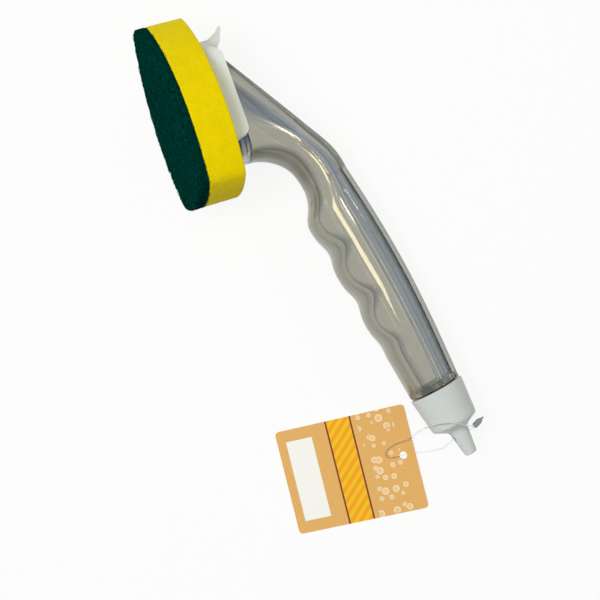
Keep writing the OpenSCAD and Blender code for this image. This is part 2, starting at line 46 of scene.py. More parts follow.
def layMatrix():
    # Turn about X by roll - 90 degrees, then about Y by pitch
    a, b = np.radians(lay["roll"] - 90), np.radians(lay["pitch"])
    aboutX = np.array([[1, 0, 0], [0, np.cos(a), -np.sin(a)], [0, np.sin(a), np.cos(a)]])
    aboutY = np.array([[np.cos(b), 0, np.sin(b)], [0, 1, 0], [-np.sin(b), 0, np.cos(b)]])
    return aboutY @ aboutX


layTurn = layMatrix()


def toRow(points):
    # Upright millimetres to metres on the table
    return (np.asarray(points, float) @ layTurn.T + np.array(lay["shift"])) * mm


def mix(a, b, t):
    return a + (b - a) * t


def smooth(t):
    # Rises from 0 to 1 with level ends
    c = np.clip(t, 0, 1)
    return c * c * (3 - 2 * c)


def circle(count):
    # Even angles once round
    return np.linspace(0, 2 * np.pi, count, endpoint=False)


def wobble(points, size, seed, waves=24):
    # Sum of sine waves in random directions with lengths near size: a smooth field from -1 to 1
    rng = np.random.default_rng(seed)
    total = np.zeros(points.shape[:-1])
    for _ in range(waves):
        way = rng.normal(size=3)
        way *= 2 * np.pi / (size * rng.uniform(0.7, 1.6)) / np.linalg.norm(way)
        total += np.sin(points @ way + rng.uniform(0, 6.28))
    return total / np.sqrt(waves)


# Camera, at the photograph's place
camera = {
    "place": (0.02348, 0.08492, 0.59273),
    "aim": (0.02477, -0.01289, 0.0),
    "pictureUp": (-0.93867, 0.33989, -0.05812),
    "lens": 72,
    "sensor": 36,
}


def addCamera():
    data = bpy.data.cameras.new("photoCamera")
    data.lens, data.sensor_width = camera["lens"], camera["sensor"]
    data.clip_start, data.clip_end = 0.01, 100
    obj = bpy.data.objects.new("photoCamera", data)
    bpy.context.scene.collection.objects.link(obj)
    place = Vector(camera["place"])
    back = (place - Vector(camera["aim"])).normalized()
    up = Vector(camera["pictureUp"])
    up = (up - back * up.dot(back)).normalized()
    right = up.cross(back)
    obj.matrix_world = Matrix.Translation(place) @ Matrix((right, up, back)).transposed().to_4x4()
    bpy.context.scene.camera = obj


addCamera()
print("camera placed")


# Meshes from grids of points
def gridFaces(rows, cols, wrap=False, start=0):
    # Quads between neighbouring rows and columns; wrap joins the last column to the first
    i = np.arange(rows - 1)[:, None]
    j = np.arange(cols if wrap else cols - 1)[None, :]
    k = (j + 1) % cols
    quads = np.stack([i * cols + j, i * cols + k, (i + 1) * cols + k, (i + 1) * cols + j], -1)
    return quads.reshape(-1, 4) + start


def flowOf(points):
    # Distance in from the nearer end of each row, and mean distance across the rows, both in metres
    across = np.linalg.norm(np.diff(points, axis=1), axis=2)
    down = np.linalg.norm(np.diff(points, axis=0), axis=2).mean(1)
    around = np.concatenate([np.zeros((len(points), 1)), np.cumsum(across, 1)], 1)
    around = np.minimum(around, around[:, -1:] - around)
    along = np.broadcast_to(np.r_[0, np.cumsum(down)][:, None], around.shape)
    return np.stack([around, along], -1)


def cleanMesh(mesh, merge=0.0):
    # Merges points closer than merge metres, turns the faces outwards and counts the open edges
    bm = bmesh.new()
    bm.from_mesh(mesh)
    if merge:
        bmesh.ops.remove_doubles(bm, verts=bm.verts, dist=merge)
        bmesh.ops.dissolve_degenerate(bm, edges=bm.edges, dist=merge)
    bmesh.ops.recalc_face_normals(bm, faces=bm.faces)
    openEdges = sum(not e.is_manifold for e in bm.edges)
    bm.to_mesh(mesh)
    bm.free()
    return openEdges


def makePiece(name, grids, body, material, merge=2e-6, smoothAngle=35, shares=None, uv=None):
    # Grids are (points in metres shaped rows x cols x 3, wrap), merged into one closed mesh. shares are
    # its point attributes and uv its map, by default "flow": a name and one array for each grid.
    verts, faces, count = [], [], 0
    for points, wrap in grids:
        rows, cols = points.shape[:2]
        verts.append(points.reshape(-1, 3))
        faces.append(gridFaces(rows, cols, wrap, count))
        count += rows * cols
    mesh = bpy.data.meshes.new(name)
    mesh.from_pydata(np.concatenate(verts).tolist(), [], np.concatenate(faces).tolist())
    for key, values in (shares or {}).items():
        flat = np.concatenate([v.ravel() for v in values]).astype(np.float32)
        mesh.attributes.new(key, "FLOAT", "POINT").data.foreach_set("value", flat)
    corners = np.zeros(len(mesh.loops), int)
    mesh.loops.foreach_get("vertex_index", corners)
    layer, maps = uv or ("flow", [flowOf(points) for points, _ in grids])
    table = np.concatenate([part.reshape(-1, 2) for part in maps])
    mesh.uv_layers.new(name=layer).data.foreach_set("uv", table[corners].ravel())
    return finishPiece(name, mesh, body, material, smoothAngle, cleanMesh(mesh, merge))


def finishPiece(name, mesh, body, material, smoothAngle, openEdges):
    # Links the piece, smooths it up to the angle, and lets it ride on its body
    mesh.shade_smooth()
    if smoothAngle < 180:
        mesh.set_sharp_from_angle(angle=np.radians(smoothAngle))
    obj = bpy.data.objects.new(name, mesh)
    bpy.context.scene.collection.objects.link(obj)
    mesh.materials.clear()
    mesh.materials.append(material)
    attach(obj, body)
    note = f", {openEdges} open edges" if openEdges else ""
    print(f"{name}: {len(mesh.polygons)} faces{note}")
    return obj

def cadCopy(name, source, body, material, bevel, segments=3, smoothAngle=40):
    # A merged copy of a CAD node with its flat faces joined and its sharp edges rounded
    mesh = cad[source].data.copy()
    mesh.name = name
    bm = bmesh.new()
    bm.from_mesh(mesh)
    bmesh.ops.remove_doubles(bm, verts=bm.verts, dist=5e-6)
    bmesh.ops.dissolve_limit(bm, angle_limit=np.radians(0.6), verts=bm.verts, edges=bm.edges)
    openEdges = sum(not e.is_manifold for e in bm.edges)
    bm.to_mesh(mesh)
    bm.free()
    obj = finishPiece(name, mesh, body, material, smoothAngle, openEdges)
    rounding = obj.modifiers.new("edges", "BEVEL")
    rounding.width, rounding.segments = bevel * mm, segments
    rounding.limit_method, rounding.angle_limit = "ANGLE", np.radians(30)
    obj.modifiers.new("shading", "WEIGHTED_NORMAL").keep_sharp = True
    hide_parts(source)


def joinTo(piece, tool, operation, smoothAngle):
    # Adds the tool's solid to the piece, or cuts it out, and leaves one plain mesh
    step = piece.modifiers.new("join", "BOOLEAN")
    step.operation, step.object, step.solver = operation, tool, "EXACT"
    bpy.context.view_layer.update()
    graph = bpy.context.evaluated_depsgraph_get()
    done = bpy.data.meshes.new_from_object(piece.evaluated_get(graph))
    piece.modifiers.clear()
    piece.data = done
    done.set_sharp_from_angle(angle=np.radians(smoothAngle))
    bpy.data.objects.remove(tool)


def resample(line, count, closed=False):
    # Even steps along a polyline
    if closed:
        line = np.vstack([line, line[:1]])
    step = np.r_[0, np.cumsum(np.linalg.norm(np.diff(line, axis=0), axis=1))]
    at = np.linspace(0, step[-1], count + 1 if closed else count)
    out = np.stack([np.interp(at, step, line[:, k]) for k in range(line.shape[1])], -1)
    return out[:-1] if closed else out


def runningMean(line, span):
    # Mean over 2 span + 1 points of a line, weighted by a cosine
    kernel = np.hanning(2 * span + 3)
    kernel /= kernel.sum()
    return np.stack([np.convolve(line[:, k], kernel, "same") for k in range(2)], -1)


def capped(rings):
    # Closes a stack of rings by the middle of the first and of the last
    first, last = (np.repeat(rings[k].mean(0)[None, None], rings.shape[1], 1) for k in (0, -1))
    return np.concatenate([first, rings, last])


def tube(path, radius, sides=12):
    # Circle carried along a path with the least turning, closed at both ends
    path = np.asarray(path, float)
    along = np.gradient(path, axis=0)
    along /= np.linalg.norm(along, axis=1)[:, None]
    normal = np.cross(along[0], [0.31, 0.52, 0.79])
    normals = []
    for t in along:
        normal = normal - t * (normal @ t)
        normal /= np.linalg.norm(normal)
        normals.append(normal)
    normals = np.array(normals)[:, None]
    sideways = np.cross(along[:, None], normals)
    a = circle(sides)[None, :, None]
    radii = np.broadcast_to(np.asarray(radius, float), len(path))[:, None, None]
    return capped(path[:, None] + radii * (np.cos(a) * normals + np.sin(a) * sideways))


# Materials
def srgb(code):
    # "#RRGGBB" to linear colour
    c = np.array([int(code[i:i + 2], 16) for i in (1, 3, 5)]) / 255
    c = np.where(c <= 0.04045, c / 12.92, ((c + 0.055) / 1.055) ** 2.4)
    return (*c.tolist(), 1.0)


def feed(owner, target, inputs):
    # Sets a node's inputs: values, hex colours, or (node, output) to link
    for key, value in inputs.items():
        if isinstance(value, tuple) and isinstance(value[0], bpy.types.Node):
            owner.node_tree.links.new(value[0].outputs[value[1]], target.inputs[key])
        else:
            target.inputs[key].default_value = srgb(value) if isinstance(value, str) else value


def node(owner, kind, settings=None, inputs=None, stops=()):
    # Adds a shader node to a material or the world; stops are a colour ramp's (place, hex)
    made = owner.node_tree.nodes.new("ShaderNode" + kind)
    for key, value in (settings or {}).items():
        setattr(made, key, value)
    feed(owner, made, inputs or {})
    if stops:
        elements = made.color_ramp.elements
        while len(elements) < len(stops):
            elements.new(0.5)
        for element, (place, code) in zip(elements, stops):
            element.position, element.color = place, srgb(code)
    return made


def newMaterial(name, **values):
    # A material with one Principled shader, its plain values set on the sockets
    material = bpy.data.materials.new(name)
    material.use_nodes = True
    shader = material.node_tree.nodes["Principled BSDF"]
    feed(material, shader, {key.replace("_", " "): value for key, value in values.items()})
    return material, shader


def perMetre(sizeMm):
    # Texture scale at which one cell of the pattern is sizeMm across
    return 1000 / sizeMm


def flowNoise(material, acrossMm, alongMm):
    # Noise drawn out along the UV map "flow"
    at = node(material, "UVMap", {"uv_map": "flow"})
    stretch = node(material, "Mapping", inputs={
        "Vector": (at, "UV"), "Scale": (perMetre(acrossMm), perMetre(alongMm), 1.0)})
    noise = node(material, "TexNoise", inputs={
        "Vector": (stretch, "Vector"), "Scale": 1.0, "Detail": 2.0})
    return noise, "Fac"


def layered(material, colour, layers):
    # Lays colours over the first one: a layer is (blend type, share, colour)
    for blend, share, over in layers:
        laid = node(material, "Mix", {"data_type": "RGBA", "blend_type": blend}, {
            "Factor": share, "A": colour, "B": over})
        colour = (laid, "Result")
    return colour


def dress(material, shader, colour=None, height=None, strength=0.0, depthMm=0.0):
    # Links the surface's colour, and its height as relief
    if colour:
        feed(material, shader, {"Base Color": colour})
    if height:
        bump = node(material, "Bump", inputs={
            "Height": height, "Strength": strength, "Distance": depthMm * mm})
        feed(material, shader, {"Normal": (bump, "Normal")})
    return material


def grained(name, stops, relief=(), noise=None, flowMm=None, **values):
    # A material whose colour, and relief of (strength, depth), follow one noise: in the object's own
    # space, or drawn out to flowMm across and along its pieces
    material, shader = newMaterial(name, **values)
    if flowMm:
        pattern = flowNoise(material, *flowMm)
    else:
        at = node(material, "TexCoord")
        pattern = (node(material, "TexNoise", inputs={"Vector": (at, "Object"), **noise}), "Fac")
    tint = node(material, "ValToRGB", inputs={"Fac": pattern}, stops=stops)
    return dress(material, shader, (tint, "Color"), pattern if relief else None, *relief)


# Polystyrene, injection moulded and clear: grey-beige through its walls, with a streaked blue band of
# painted reflection along the upper facet, pale lines of painted highlight where an edge gathers the light,
# and painted shade as deeper grey behind each finger wave
# Painted light in these colours: facet, facetPale and line paint a reflection; edge, the wave's pale rim and
# inside, where it lines the band, paint highlights; heel, low, wave, waveFade and footTop paint shade
clearLook = {
    "skin": "#B4B1A2", "cover": "#E2E2DC", "inside": "#F4F4F1", "facet": "#3B5D84", "facetPale": "#6A839A",
    "heel": "#0E2A4C", "line": "#8A949A", "edge": "#DDDBD2", "low": "#A6A69A", "flank": "#E4E4DC",
    "waveHighlight": "#ECECE4", "wave": "#6E7D90", "waveFade": "#B4BCC6", "depth": "#8B9AAA", "density": 40.0,
    "foot": "#C9CCC6", "footTop": "#3F5D7E", "footNavyMm": (8, 31), "footRippleMm": 4,
    "streakMm": (1.1, 70), "streakShare": 0.35, "rippleMm": (0.9, 60), "rippleDepth": 0.012,
}
clearValues = {"IOR": 1.57, "Transmission_Weight": 1.0, "Specular_IOR_Level": 0.5}


def clearPlastic(name, tint):
    look = clearLook
    material, shader = newMaterial(name, Roughness=0.06, **clearValues)
    facet, heel, wave, low, inside = (
        (node(material, "Attribute", {"attribute_name": key}), "Fac")
        for key in ("facetPlace", "heelPlace", "wavePlace", "lowPlace", "inside"))
    streaks = node(material, "MapRange", inputs={
        "Value": flowNoise(material, *look["streakMm"]), "From Min": 0.3, "From Max": 0.7,
        "To Min": 0.0, "To Max": look["streakShare"]})
    # Across the facet, all painted light: plain, the blue band of painted reflection, a pale edge line of
    # painted highlight, a grey line of painted reflection, and the knee's pale line of painted highlight
    band = node(material, "ValToRGB", inputs={"Fac": facet}, stops=[
        (0.0, tint), (0.14, tint), (0.23, look["facet"]), (0.42, look["facetPale"]), (0.64, look["facet"]),
        (0.69, look["inside"]), (0.73, look["line"]), (0.8, look["edge"]), (0.83, tint)])
    # Beside the holder the band is deeper: painted shade
    navy = node(material, "ValToRGB", inputs={"Fac": facet}, stops=[
        (0.16, tint), (0.3, look["heel"]), (0.6, look["facet"]), (0.8, tint)])
    # Painted shade: darkest at a wavy line above the fingers and fading up the flank, with a pale painted
    # highlight line on its finger side
    shade = node(material, "ValToRGB", inputs={"Fac": wave}, stops=[
        (0.0, look["flank"]), (0.19, look["waveHighlight"]), (0.22, look["wave"]), (0.4, look["waveFade"]),
        (0.85, "#FFFFFF")])
    # The low edge of the throat is darker still as painted shade, and the inner wall is nearly colourless
    colour = layered(material, (band, "Color"), [
        ("MIX", heel, (navy, "Color")), ("MIX", (streaks, "Result"), tint),
        ("MULTIPLY", 1.0, (shade, "Color")), ("MULTIPLY", low, look["low"]),
        ("MIX", inside, look["inside"])])
    depth = node(material, "VolumeAbsorption", inputs={
        "Color": look["depth"], "Density": look["density"]})
    feed(material, material.node_tree.nodes["Material Output"], {"Volume": (depth, "Volume")})
    ripple = flowNoise(material, *look["rippleMm"])
    return dress(material, shader, colour, ripple, 0.25, look["rippleDepth"])


def footPlastic():
    # The same plastic over the holder's slide: navy under the holder's heel as painted shade, and plain
    # elsewhere
    look = clearLook
    material, shader = newMaterial("clearFootStyrene", Roughness=0.18, **clearValues)
    at = (node(material, "TexCoord"), "Object")
    alongFoot = layTurn[:, 0]
    start, end = ((x + float(alongFoot @ np.array(lay["shift"]))) * mm for x in look["footNavyMm"])
    place = node(material, "VectorMath", {"operation": "DOT_PRODUCT"}, {
        0: at, 1: tuple(alongFoot.tolist())})
    share = node(material, "MapRange", inputs={
        "Value": (place, "Value"), "From Min": start, "From Max": end})
    tint = node(material, "ValToRGB", inputs={"Fac": (share, "Result")}, stops=[
        (0.0, look["foot"]), (0.35, look["footTop"]), (0.6, look["footTop"]), (0.88, look["foot"])])
    ripple = node(material, "TexNoise", inputs={
        "Vector": at, "Scale": perMetre(look["footRippleMm"]), "Detail": 2.0})
    return dress(material, shader, (tint, "Color"), (ripple, "Fac"), 0.3, 0.1)


clearStyrene = clearPlastic("clearStyrene", clearLook["skin"])
clearCoverStyrene = clearPlastic("clearCoverStyrene", clearLook["cover"])
clearFootStyrene = footPlastic()

# Polystyrene melted in the weld round the cover: a thin smoky line with small beads along it, dark partly as
# the joint's own colour and partly as painted shade of the gap between cover and body
seamStyrene = grained(
    "weldedSeamAndShadeStyrene", [(0.35, "#262C34"), (0.65, "#3A414A")], (0.3, 0.05),
    {"Scale": perMetre(3), "Detail": 2.0}, Roughness=0.25, IOR=1.57, Transmission_Weight=0.25)


# Polypropylene, moulded and slightly see-through white: satin, with a fine grain
def whiteMoulding(name, tint):
    material, shader = newMaterial(
        name, Base_Color=tint, IOR=1.49, Subsurface_Weight=0.25, Subsurface_Scale=0.0015)
    at = (node(material, "TexCoord"), "Object")
    grain = node(material, "TexNoise", inputs={
        "Vector": at, "Scale": perMetre(0.5), "Detail": 3.0, "Roughness": 0.6})
    flow = node(material, "TexNoise", inputs={"Vector": at, "Scale": perMetre(16), "Detail": 1.0})
    satin = node(material, "MapRange", inputs={
        "Value": (flow, "Fac"), "To Min": 0.32, "To Max": 0.46})
    feed(material, shader, {"Roughness": (satin, "Result")})
    return dress(material, shader, None, (grain, "Fac"), 0.18, 0.02)


whiteHolder = whiteMoulding("whitePolypropyleneHolder", "#E0E6E3")
whiteCap = whiteMoulding("whitePolypropyleneCap", "#CDD2D1")


# Polyurethane foam, knife-cut: open cells about 0.6 mm across, with painted shade darkening their hollows
def foamMaterial():
    material, shader = newMaterial(
        "yellowPolyurethaneFoam", Roughness=0.95, Specular_IOR_Level=0.1, Sheen_Weight=0.04,
        Subsurface_Weight=0.1, Subsurface_Scale=0.002)
    at = (node(material, "TexCoord"), "Object")
    cells = node(material, "TexVoronoi", {"feature": "F1"}, {
        "Vector": at, "Scale": perMetre(0.6), "Randomness": 1.0})
    patch = node(material, "TexNoise", inputs={"Vector": at, "Scale": perMetre(7), "Detail": 3.0})
    # Darker towards the middle of each cell: painted shade in the cells' hollows
    holes = node(material, "ValToRGB", inputs={"Fac": (cells, "Distance")}, stops=[
        (0.0, "#DABF00"), (0.25, "#E8CE00"), (0.5, "#EED500"), (1.0, "#F2D900")])
    cloud = node(material, "ValToRGB", inputs={"Fac": (patch, "Fac")}, stops=[
        (0.3, "#F5F5F5"), (0.7, "#FFFFFF")])
    colour = layered(material, (holes, "Color"), [("MULTIPLY", 0.8, (cloud, "Color"))])
    return dress(material, shader, colour, (cells, "Distance"), 0.35, 0.2)


foamYellow = foamMaterial()

# Nylon web bonded with green resin: tangled fibres, with painted shade darkening the low gaps between them
tangle = {"Scale": perMetre(1.4), "Detail": 6.0, "Roughness": 0.7, "Distortion": 1.5}
padWeb = grained(
    "greenAbrasiveWeb", [(0.36, "#001C18"), (0.55, "#003A33"), (0.75, "#03584C")], (0.9, 0.6), tangle,
    Roughness=0.8, Specular_IOR_Level=0.0)
padFibre = grained(
    "greenAbrasiveFibre", [(0.36, "#002A25"), (0.55, "#045046"), (0.75, "#1F8270")], (0.9, 0.6), tangle,
    Roughness=0.8, Specular_IOR_Level=0.0)

# Styrene-butadiene ring, matt grey with a dusty bloom
sealRubber = grained(
    "greySealRubber", [(0.3, "#53565A"), (0.7, "#6A6E72")], noise={"Scale": perMetre(2), "Detail": 3.0},
    Roughness=0.7)

# Nylon: the loop is drawn and clear, the lock moulded and smoky grey, both with faint draw marks
clearNylon = grained(
    "clearDrawnNylon", [(0.3, "#EDF0F1"), (0.7, "#F6F7F7")], (0.15, 0.01), flowMm=(0.3, 8),
    Roughness=0.04, IOR=1.53, Transmission_Weight=1.0)
greyNylon = grained(
    "greyMouldedNylon", [(0.3, "#7F858E"), (0.7, "#9096A0")], (0.15, 0.01), flowMm=(0.6, 8),
    Roughness=0.35, IOR=1.53, Transmission_Weight=0.1)
print("materials made")


# Scouring head: outline of two long arcs, a blunt heel and a round toe
head = {
    "length": 90, "width": 60, "sideRadius": 69, "widestAt": 36, "heelRadius": 55, "corner": 5,
    "toeCentre": 8, "pad": 6, "foam": 18, "foamEdge": 0.7, "padEdge": 0.9,
    # Wobbles of the sides: size, seed and depth
    "foamDents": ((9, 3, 0.10), (2.2, 4, 0.06)), "padTangle": ((1.6, 11, 0.22), (4.5, 12, 0.18)),
}


def headOutline(count):
    # Radius from the middle of the widest place: the least reach of the four circles, corners eased
    h = head
    heel = h["length"] / 2
    wide = heel - h["widestAt"]
    drop = h["sideRadius"] - h["width"] / 2
    circles = [
        ((wide, drop), h["sideRadius"]), ((wide, -drop), h["sideRadius"]),
        ((heel - h["heelRadius"], 0), h["heelRadius"]), ((-heel + h["sideRadius"], 0), h["sideRadius"]),
    ]
    a = circle(4000)
    way = np.stack([np.cos(a), np.sin(a)], -1)
    centre = np.array([wide - h["toeCentre"], 0.0])
    reach = []
    for middle, radius in circles:
        off = centre - np.array(middle)
        b = way @ off
        reach.append(-b + np.sqrt(b * b - off @ off + radius * radius))
    line = resample(centre + way * np.min(reach, 0)[:, None], 1440, closed=True)
    # Corners are eased by a running mean a little wider than the corner radius
    span = int(round(h["corner"] * 1.1 / np.linalg.norm(line[1] - line[0])))
    pad = 2 * span + 3
    eased = runningMean(np.concatenate([line[-pad:], line, line[:pad]]), span)
    return resample(eased[pad:-pad], count, closed=True)


def blockGrid(outline, zLow, zHigh, edge, sideRows, faceRows, edgeRows=5):
    # Rings from the middle of the lower face, out, up the side and in again over the upper face: the
    # outline drawn in towards its middle by an inset, at a height
    middle = outline.mean(0)
    size = np.linalg.norm(outline - middle, axis=1).mean()
    face = np.linspace(1, 0, faceRows, endpoint=False) * (size - edge) + edge
    q = np.linspace(0, np.pi / 2, edgeRows)
    curve, rise = edge * (1 - np.sin(q)), edge * (1 - np.cos(q))
    inset = np.r_[face, curve, np.zeros(sideRows - 2), curve[::-1], face[::-1]]
    height = np.r_[
        np.full(faceRows, zLow), zLow + rise, np.linspace(zLow + edge, zHigh - edge, sideRows)[1:-1],
        zHigh - rise[::-1], np.full(faceRows, zHigh)]
    flat = middle + (1 - inset / size)[:, None, None] * (outline - middle)[None]
    return np.concatenate([flat, np.repeat(height[:, None], len(outline), 1)[..., None]], -1)


def fromMiddle(outline):
    # Level unit directions from the outline's middle to its points
    out = np.concatenate([outline - outline.mean(0), np.zeros((len(outline), 1))], -1)
    return out / np.linalg.norm(out, axis=1)[:, None]


def foamBlock():
    # Knife-cut block, its sides uneven by about a tenth of a millimetre
    h = head
    outline = headOutline(420)
    low, high = h["pad"], h["pad"] + h["foam"]
    points = blockGrid(outline, low + 0.05, high - 0.15, h["foamEdge"], 26, 36)
    dent = sum(wobble(points, size, seed) * depth for size, seed, depth in h["foamDents"])
    onSide = smooth(points[..., 2] - low - 0.5) * smooth(high - 0.5 - points[..., 2])
    points = points - fromMiddle(outline)[None] * (np.abs(dent) * onSide)[..., None]
    piece = makePiece("foamBlock", [(toRow(points), True)], "head", foamYellow)
    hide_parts("foam_block")


def scourPad():
    # Web of tangled fibres: a rough block, and loose fibres standing on it
    h = head
    outline = headOutline(560)
    points = blockGrid(outline, 0.15, h["pad"] - 0.02, h["padEdge"], 14, 60)
    rough = sum(np.abs(wobble(points, size, seed)) * depth for size, seed, depth in h["padTangle"])
    low = 1 - smooth((points[..., 2] - 0.2) / 1.2)
    side = smooth((points[..., 2] - 0.4) / 0.8) * smooth((h["pad"] - 0.2 - points[..., 2]) / 0.6)
    points = points - fromMiddle(outline)[None] * (rough * side)[..., None]
    points[..., 2] += rough * low
    piece = makePiece("scourPad", [(toRow(points), True)], "head", padWeb, smoothAngle=180)
    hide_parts("scour_pad")


fibres = {
    "count": 2600, "onFace": 0.62, "length": 6.0, "bend": 0.5, "lift": (0.05, 0.45), "diameter": 0.16,
    "steps": 6, "seed": 21,
}


def padFibres():
    # Each fibre is a bent three-sided thread; all of them are worked out in one array
    f, top = fibres, head["pad"]
    rng = np.random.default_rng(f["seed"])
    outline = headOutline(720)
    middle = outline.mean(0)
    n, steps = f["count"], f["steps"]
    down, level = np.array([0, 0, -1.0]), np.zeros((n, 1))
    onFace = np.arange(n) < n * f["onFace"]
    pick = rng.integers(0, len(outline), n)
    share = np.where(onFace, np.sqrt(rng.uniform(0, 1, n)) * 0.985, 0.997)
    start = middle + (outline[pick] - middle) * share[:, None]
    base = np.concatenate([start, np.where(onFace, 0.3, rng.uniform(0.6, top + 0.25, n))[:, None]], -1)
    tangent = np.roll(outline, -3, 0)[pick] - outline[pick]
    tangent = np.concatenate([tangent / np.linalg.norm(tangent, axis=1)[:, None], level], -1)
    turn = rng.uniform(0, 2 * np.pi, n)[:, None]
    faceWay = np.concatenate([np.cos(turn), np.sin(turn), level], -1)
    sideWay = tangent * np.cos(turn) - down * np.sin(turn) * 0.5
    way = np.where(onFace[:, None], faceWay, sideWay)
    lift = np.where(onFace[:, None], down, np.cross(tangent, -down))
    cross = np.cross(lift, way)
    s = np.linspace(-0.5, 0.5, steps)
    length = f["length"] * rng.uniform(0.4, 1.2, n) * np.where(onFace, 1, 0.5)
    bend = length * rng.normal(0, f["bend"], n)
    arch = rng.uniform(*f["lift"], n)
    path = (base[:, None] + way[:, None] * (length[:, None] * s)[..., None]
            + cross[:, None] * (bend[:, None] * (s * s))[..., None]
            + lift[:, None] * (arch[:, None] * (0.25 - s * s) * 2)[..., None])
    path = path - lift[:, None] * (np.abs(wobble(path, 3, 31)) * 0.1)[..., None]
    # Kept inside the pad's outline and thickness
    off, rimOff = path[..., :2] - middle, outline - middle
    rimAngle = np.arctan2(rimOff[:, 1], rimOff[:, 0])
    order = np.argsort(rimAngle)
    rim = np.interp(np.arctan2(off[..., 1], off[..., 0]), rimAngle[order],
                    np.linalg.norm(rimOff, axis=1)[order], period=2 * np.pi)
    scale = np.minimum(1, (rim + 0.15) / np.maximum(np.linalg.norm(off, axis=-1), 1e-6))
    path[..., :2] = middle + off * scale[..., None]
    path[..., 2] = np.clip(path[..., 2], 0.05, top + 0.55)
    a = circle(3)[None, None, :, None]
    taper = f["diameter"] / 2 * (1 - 0.5 * (2 * s) ** 4)
    ring = np.cos(a) * cross[:, None, None] + np.sin(a) * lift[:, None, None]
    points = path[:, :, None] + ring * taper[None, :, None, None]
    quads = gridFaces(steps, 3, True)
    ends = np.array([[0, 2, 1], [3 * steps - 3, 3 * steps - 2, 3 * steps - 1]])
    each = np.arange(n)[:, None, None] * steps * 3
    faces = (quads[None] + each).reshape(-1, 4).tolist() + (ends[None] + each).reshape(-1, 3).tolist()
    mesh = bpy.data.meshes.new("padFibres")
    mesh.from_pydata(toRow(points).reshape(-1, 3).tolist(), [], faces)
    finishPiece("padFibres", mesh, "head", padFibre, 180, cleanMesh(mesh))


foamBlock()
scourPad()
padFibres()

# Holder: the moulding's own shape with its edges rounded as the mould's cutter leaves them
cadCopy("headHolder", "head_holder", "head", whiteHolder, 0.45)


# Clear handle, lofted by the same curves as the part's source, in millimetres and degrees
grip = {
    "holderToe": -29.5, "footHeel": 30.5, "throatOut": 24.1, "deck": 33.6, "neckToe": 6.2,
    "neckAngle": 34, "throatRadius": 23.3, "elbowReach": 31, "rail": 2.3, "neckHalf": 14.5,
    "backBend": 145, "frontBend": 140,
    "length": 112, "tilt": 9.5, "palmHalf": 14, "elbowHalf": 14, "shoulderHalf": 13.1,
    "back": 11.6, "palm": 3.3, "front": 13, "frontGrow": 3.2,
    "elbowFront": 9.6, "elbowBlend": 19, "neckPower": 0.62, "gripPower": 0.86, "palmReach": 1.06,
    "fingerPitch": 26.8, "fingerDepth": 2.7, "fingers": 3, "firstBulge": 20,
    "waveShear": 22, "waveFade": 22,
    "kneeEase": 1.6, "elbowEase": 5.0, "elbowRings": ((30, 18), (72, 16)), "innerEase": 2.4,
    "wall": 2.3, "fingerWall": 2.4, "coverWidth": 14, "coverRise": 3.2, "railEdge": 1.1, "facet": 0.32,
    "neckRings": 66, "gripRings": 150, "sectionPoints": 160,
}


def direction(degrees):
    a = np.radians(degrees)
    return np.stack([np.cos(a), np.sin(a)], -1)


def gripAxis():
    # Throat centre, elbow and shoulder on the axis, and the grip's own directions
    g = grip
    along, up = direction(g["tilt"]), direction(g["tilt"] + 90)
    throat = np.array([g["footHeel"] + g["throatOut"], g["deck"]])
    elbow = throat + g["elbowReach"] * up
    return throat, elbow, along, up


def backAt(t):
    # Distance of the back from the axis: a sine arch over the palm
    g = grip
    share = np.clip((g["length"] - t) / (g["length"] * g["palmReach"]), 0, 1)
    return g["back"] + g["palm"] * np.sin(np.pi * share)


def frontAt(t, depth=1.0):
    # Distance of the finger side from the axis: a sheared cosine wave that fades after the last bulge.
    # With depth 0 it is the line through the middle of the waves.
    g = grip
    q = (t - g["firstBulge"]) / g["fingerPitch"] * 2 * np.pi
    wave = np.cos(q - np.radians(g["waveShear"]) * np.sin(q))
    last = g["firstBulge"] + (g["fingers"] - 1) * g["fingerPitch"]
    fade = 1 - smooth((t - last) / g["waveFade"])
    mean = g["front"] + g["frontGrow"] * (1 - t / g["length"])
    waved = mean + g["fingerDepth"] / 2 * depth * wave * fade
    return mix(waved, g["elbowFront"], 1 - smooth(t / g["elbowBlend"]))


def halfWidthAt(t):
    g = grip
    palm = 0.45 * g["length"]
    return np.where(
        t < palm, mix(g["elbowHalf"], g["palmHalf"], smooth(t / palm)),
        mix(g["palmHalf"], g["shoulderHalf"], smooth((t - palm) / (g["length"] - palm))))


def rings():
    # One row per ring: its centre and up direction, back, front, half width, rail height, roundness
    g = grip
    throat, elbow, along, up = gripAxis()
    k = np.linspace(0, 1, g["neckRings"], endpoint=False)
    endAngle = 90 + g["tilt"]
    a = mix(180, endAngle, k)
    line = (throat[0] - g["holderToe"] - g["neckToe"]) * np.sin(np.radians(g["neckAngle"]))
    neckBack = mix(line / np.cos(np.radians(a - 90 - g["neckAngle"])), g["elbowReach"] + backAt(0.0),
                   smooth((g["backBend"] - a) / (g["backBend"] - endAngle)))
    neckFront = mix(g["throatRadius"], g["elbowReach"] - frontAt(0.0),
                    smooth((g["frontBend"] - a) / (g["frontBend"] - endAngle)))
    t = np.linspace(0, g["length"], g["gripRings"])
    centre = np.concatenate([np.repeat(throat[None], len(k), 0), elbow + t[:, None] * along])
    ups = np.concatenate([direction(a), np.repeat(up[None], len(t), 0)])
    return {
        "centre": centre, "up": ups,
        "back": np.r_[neckBack, backAt(t)], "front": np.r_[neckFront, -frontAt(t)],
        "knee": np.r_[neckFront, -frontAt(t, 0.0)],
        "half": np.r_[mix(g["neckHalf"], g["elbowHalf"], smooth(k)), halfWidthAt(t)],
        "rail": np.r_[mix(g["rail"], g["coverRise"], k), np.full(len(t), g["coverRise"])],
        "power": np.r_[mix(g["neckPower"], g["gripPower"], k), np.full(len(t), g["gripPower"])],
    }


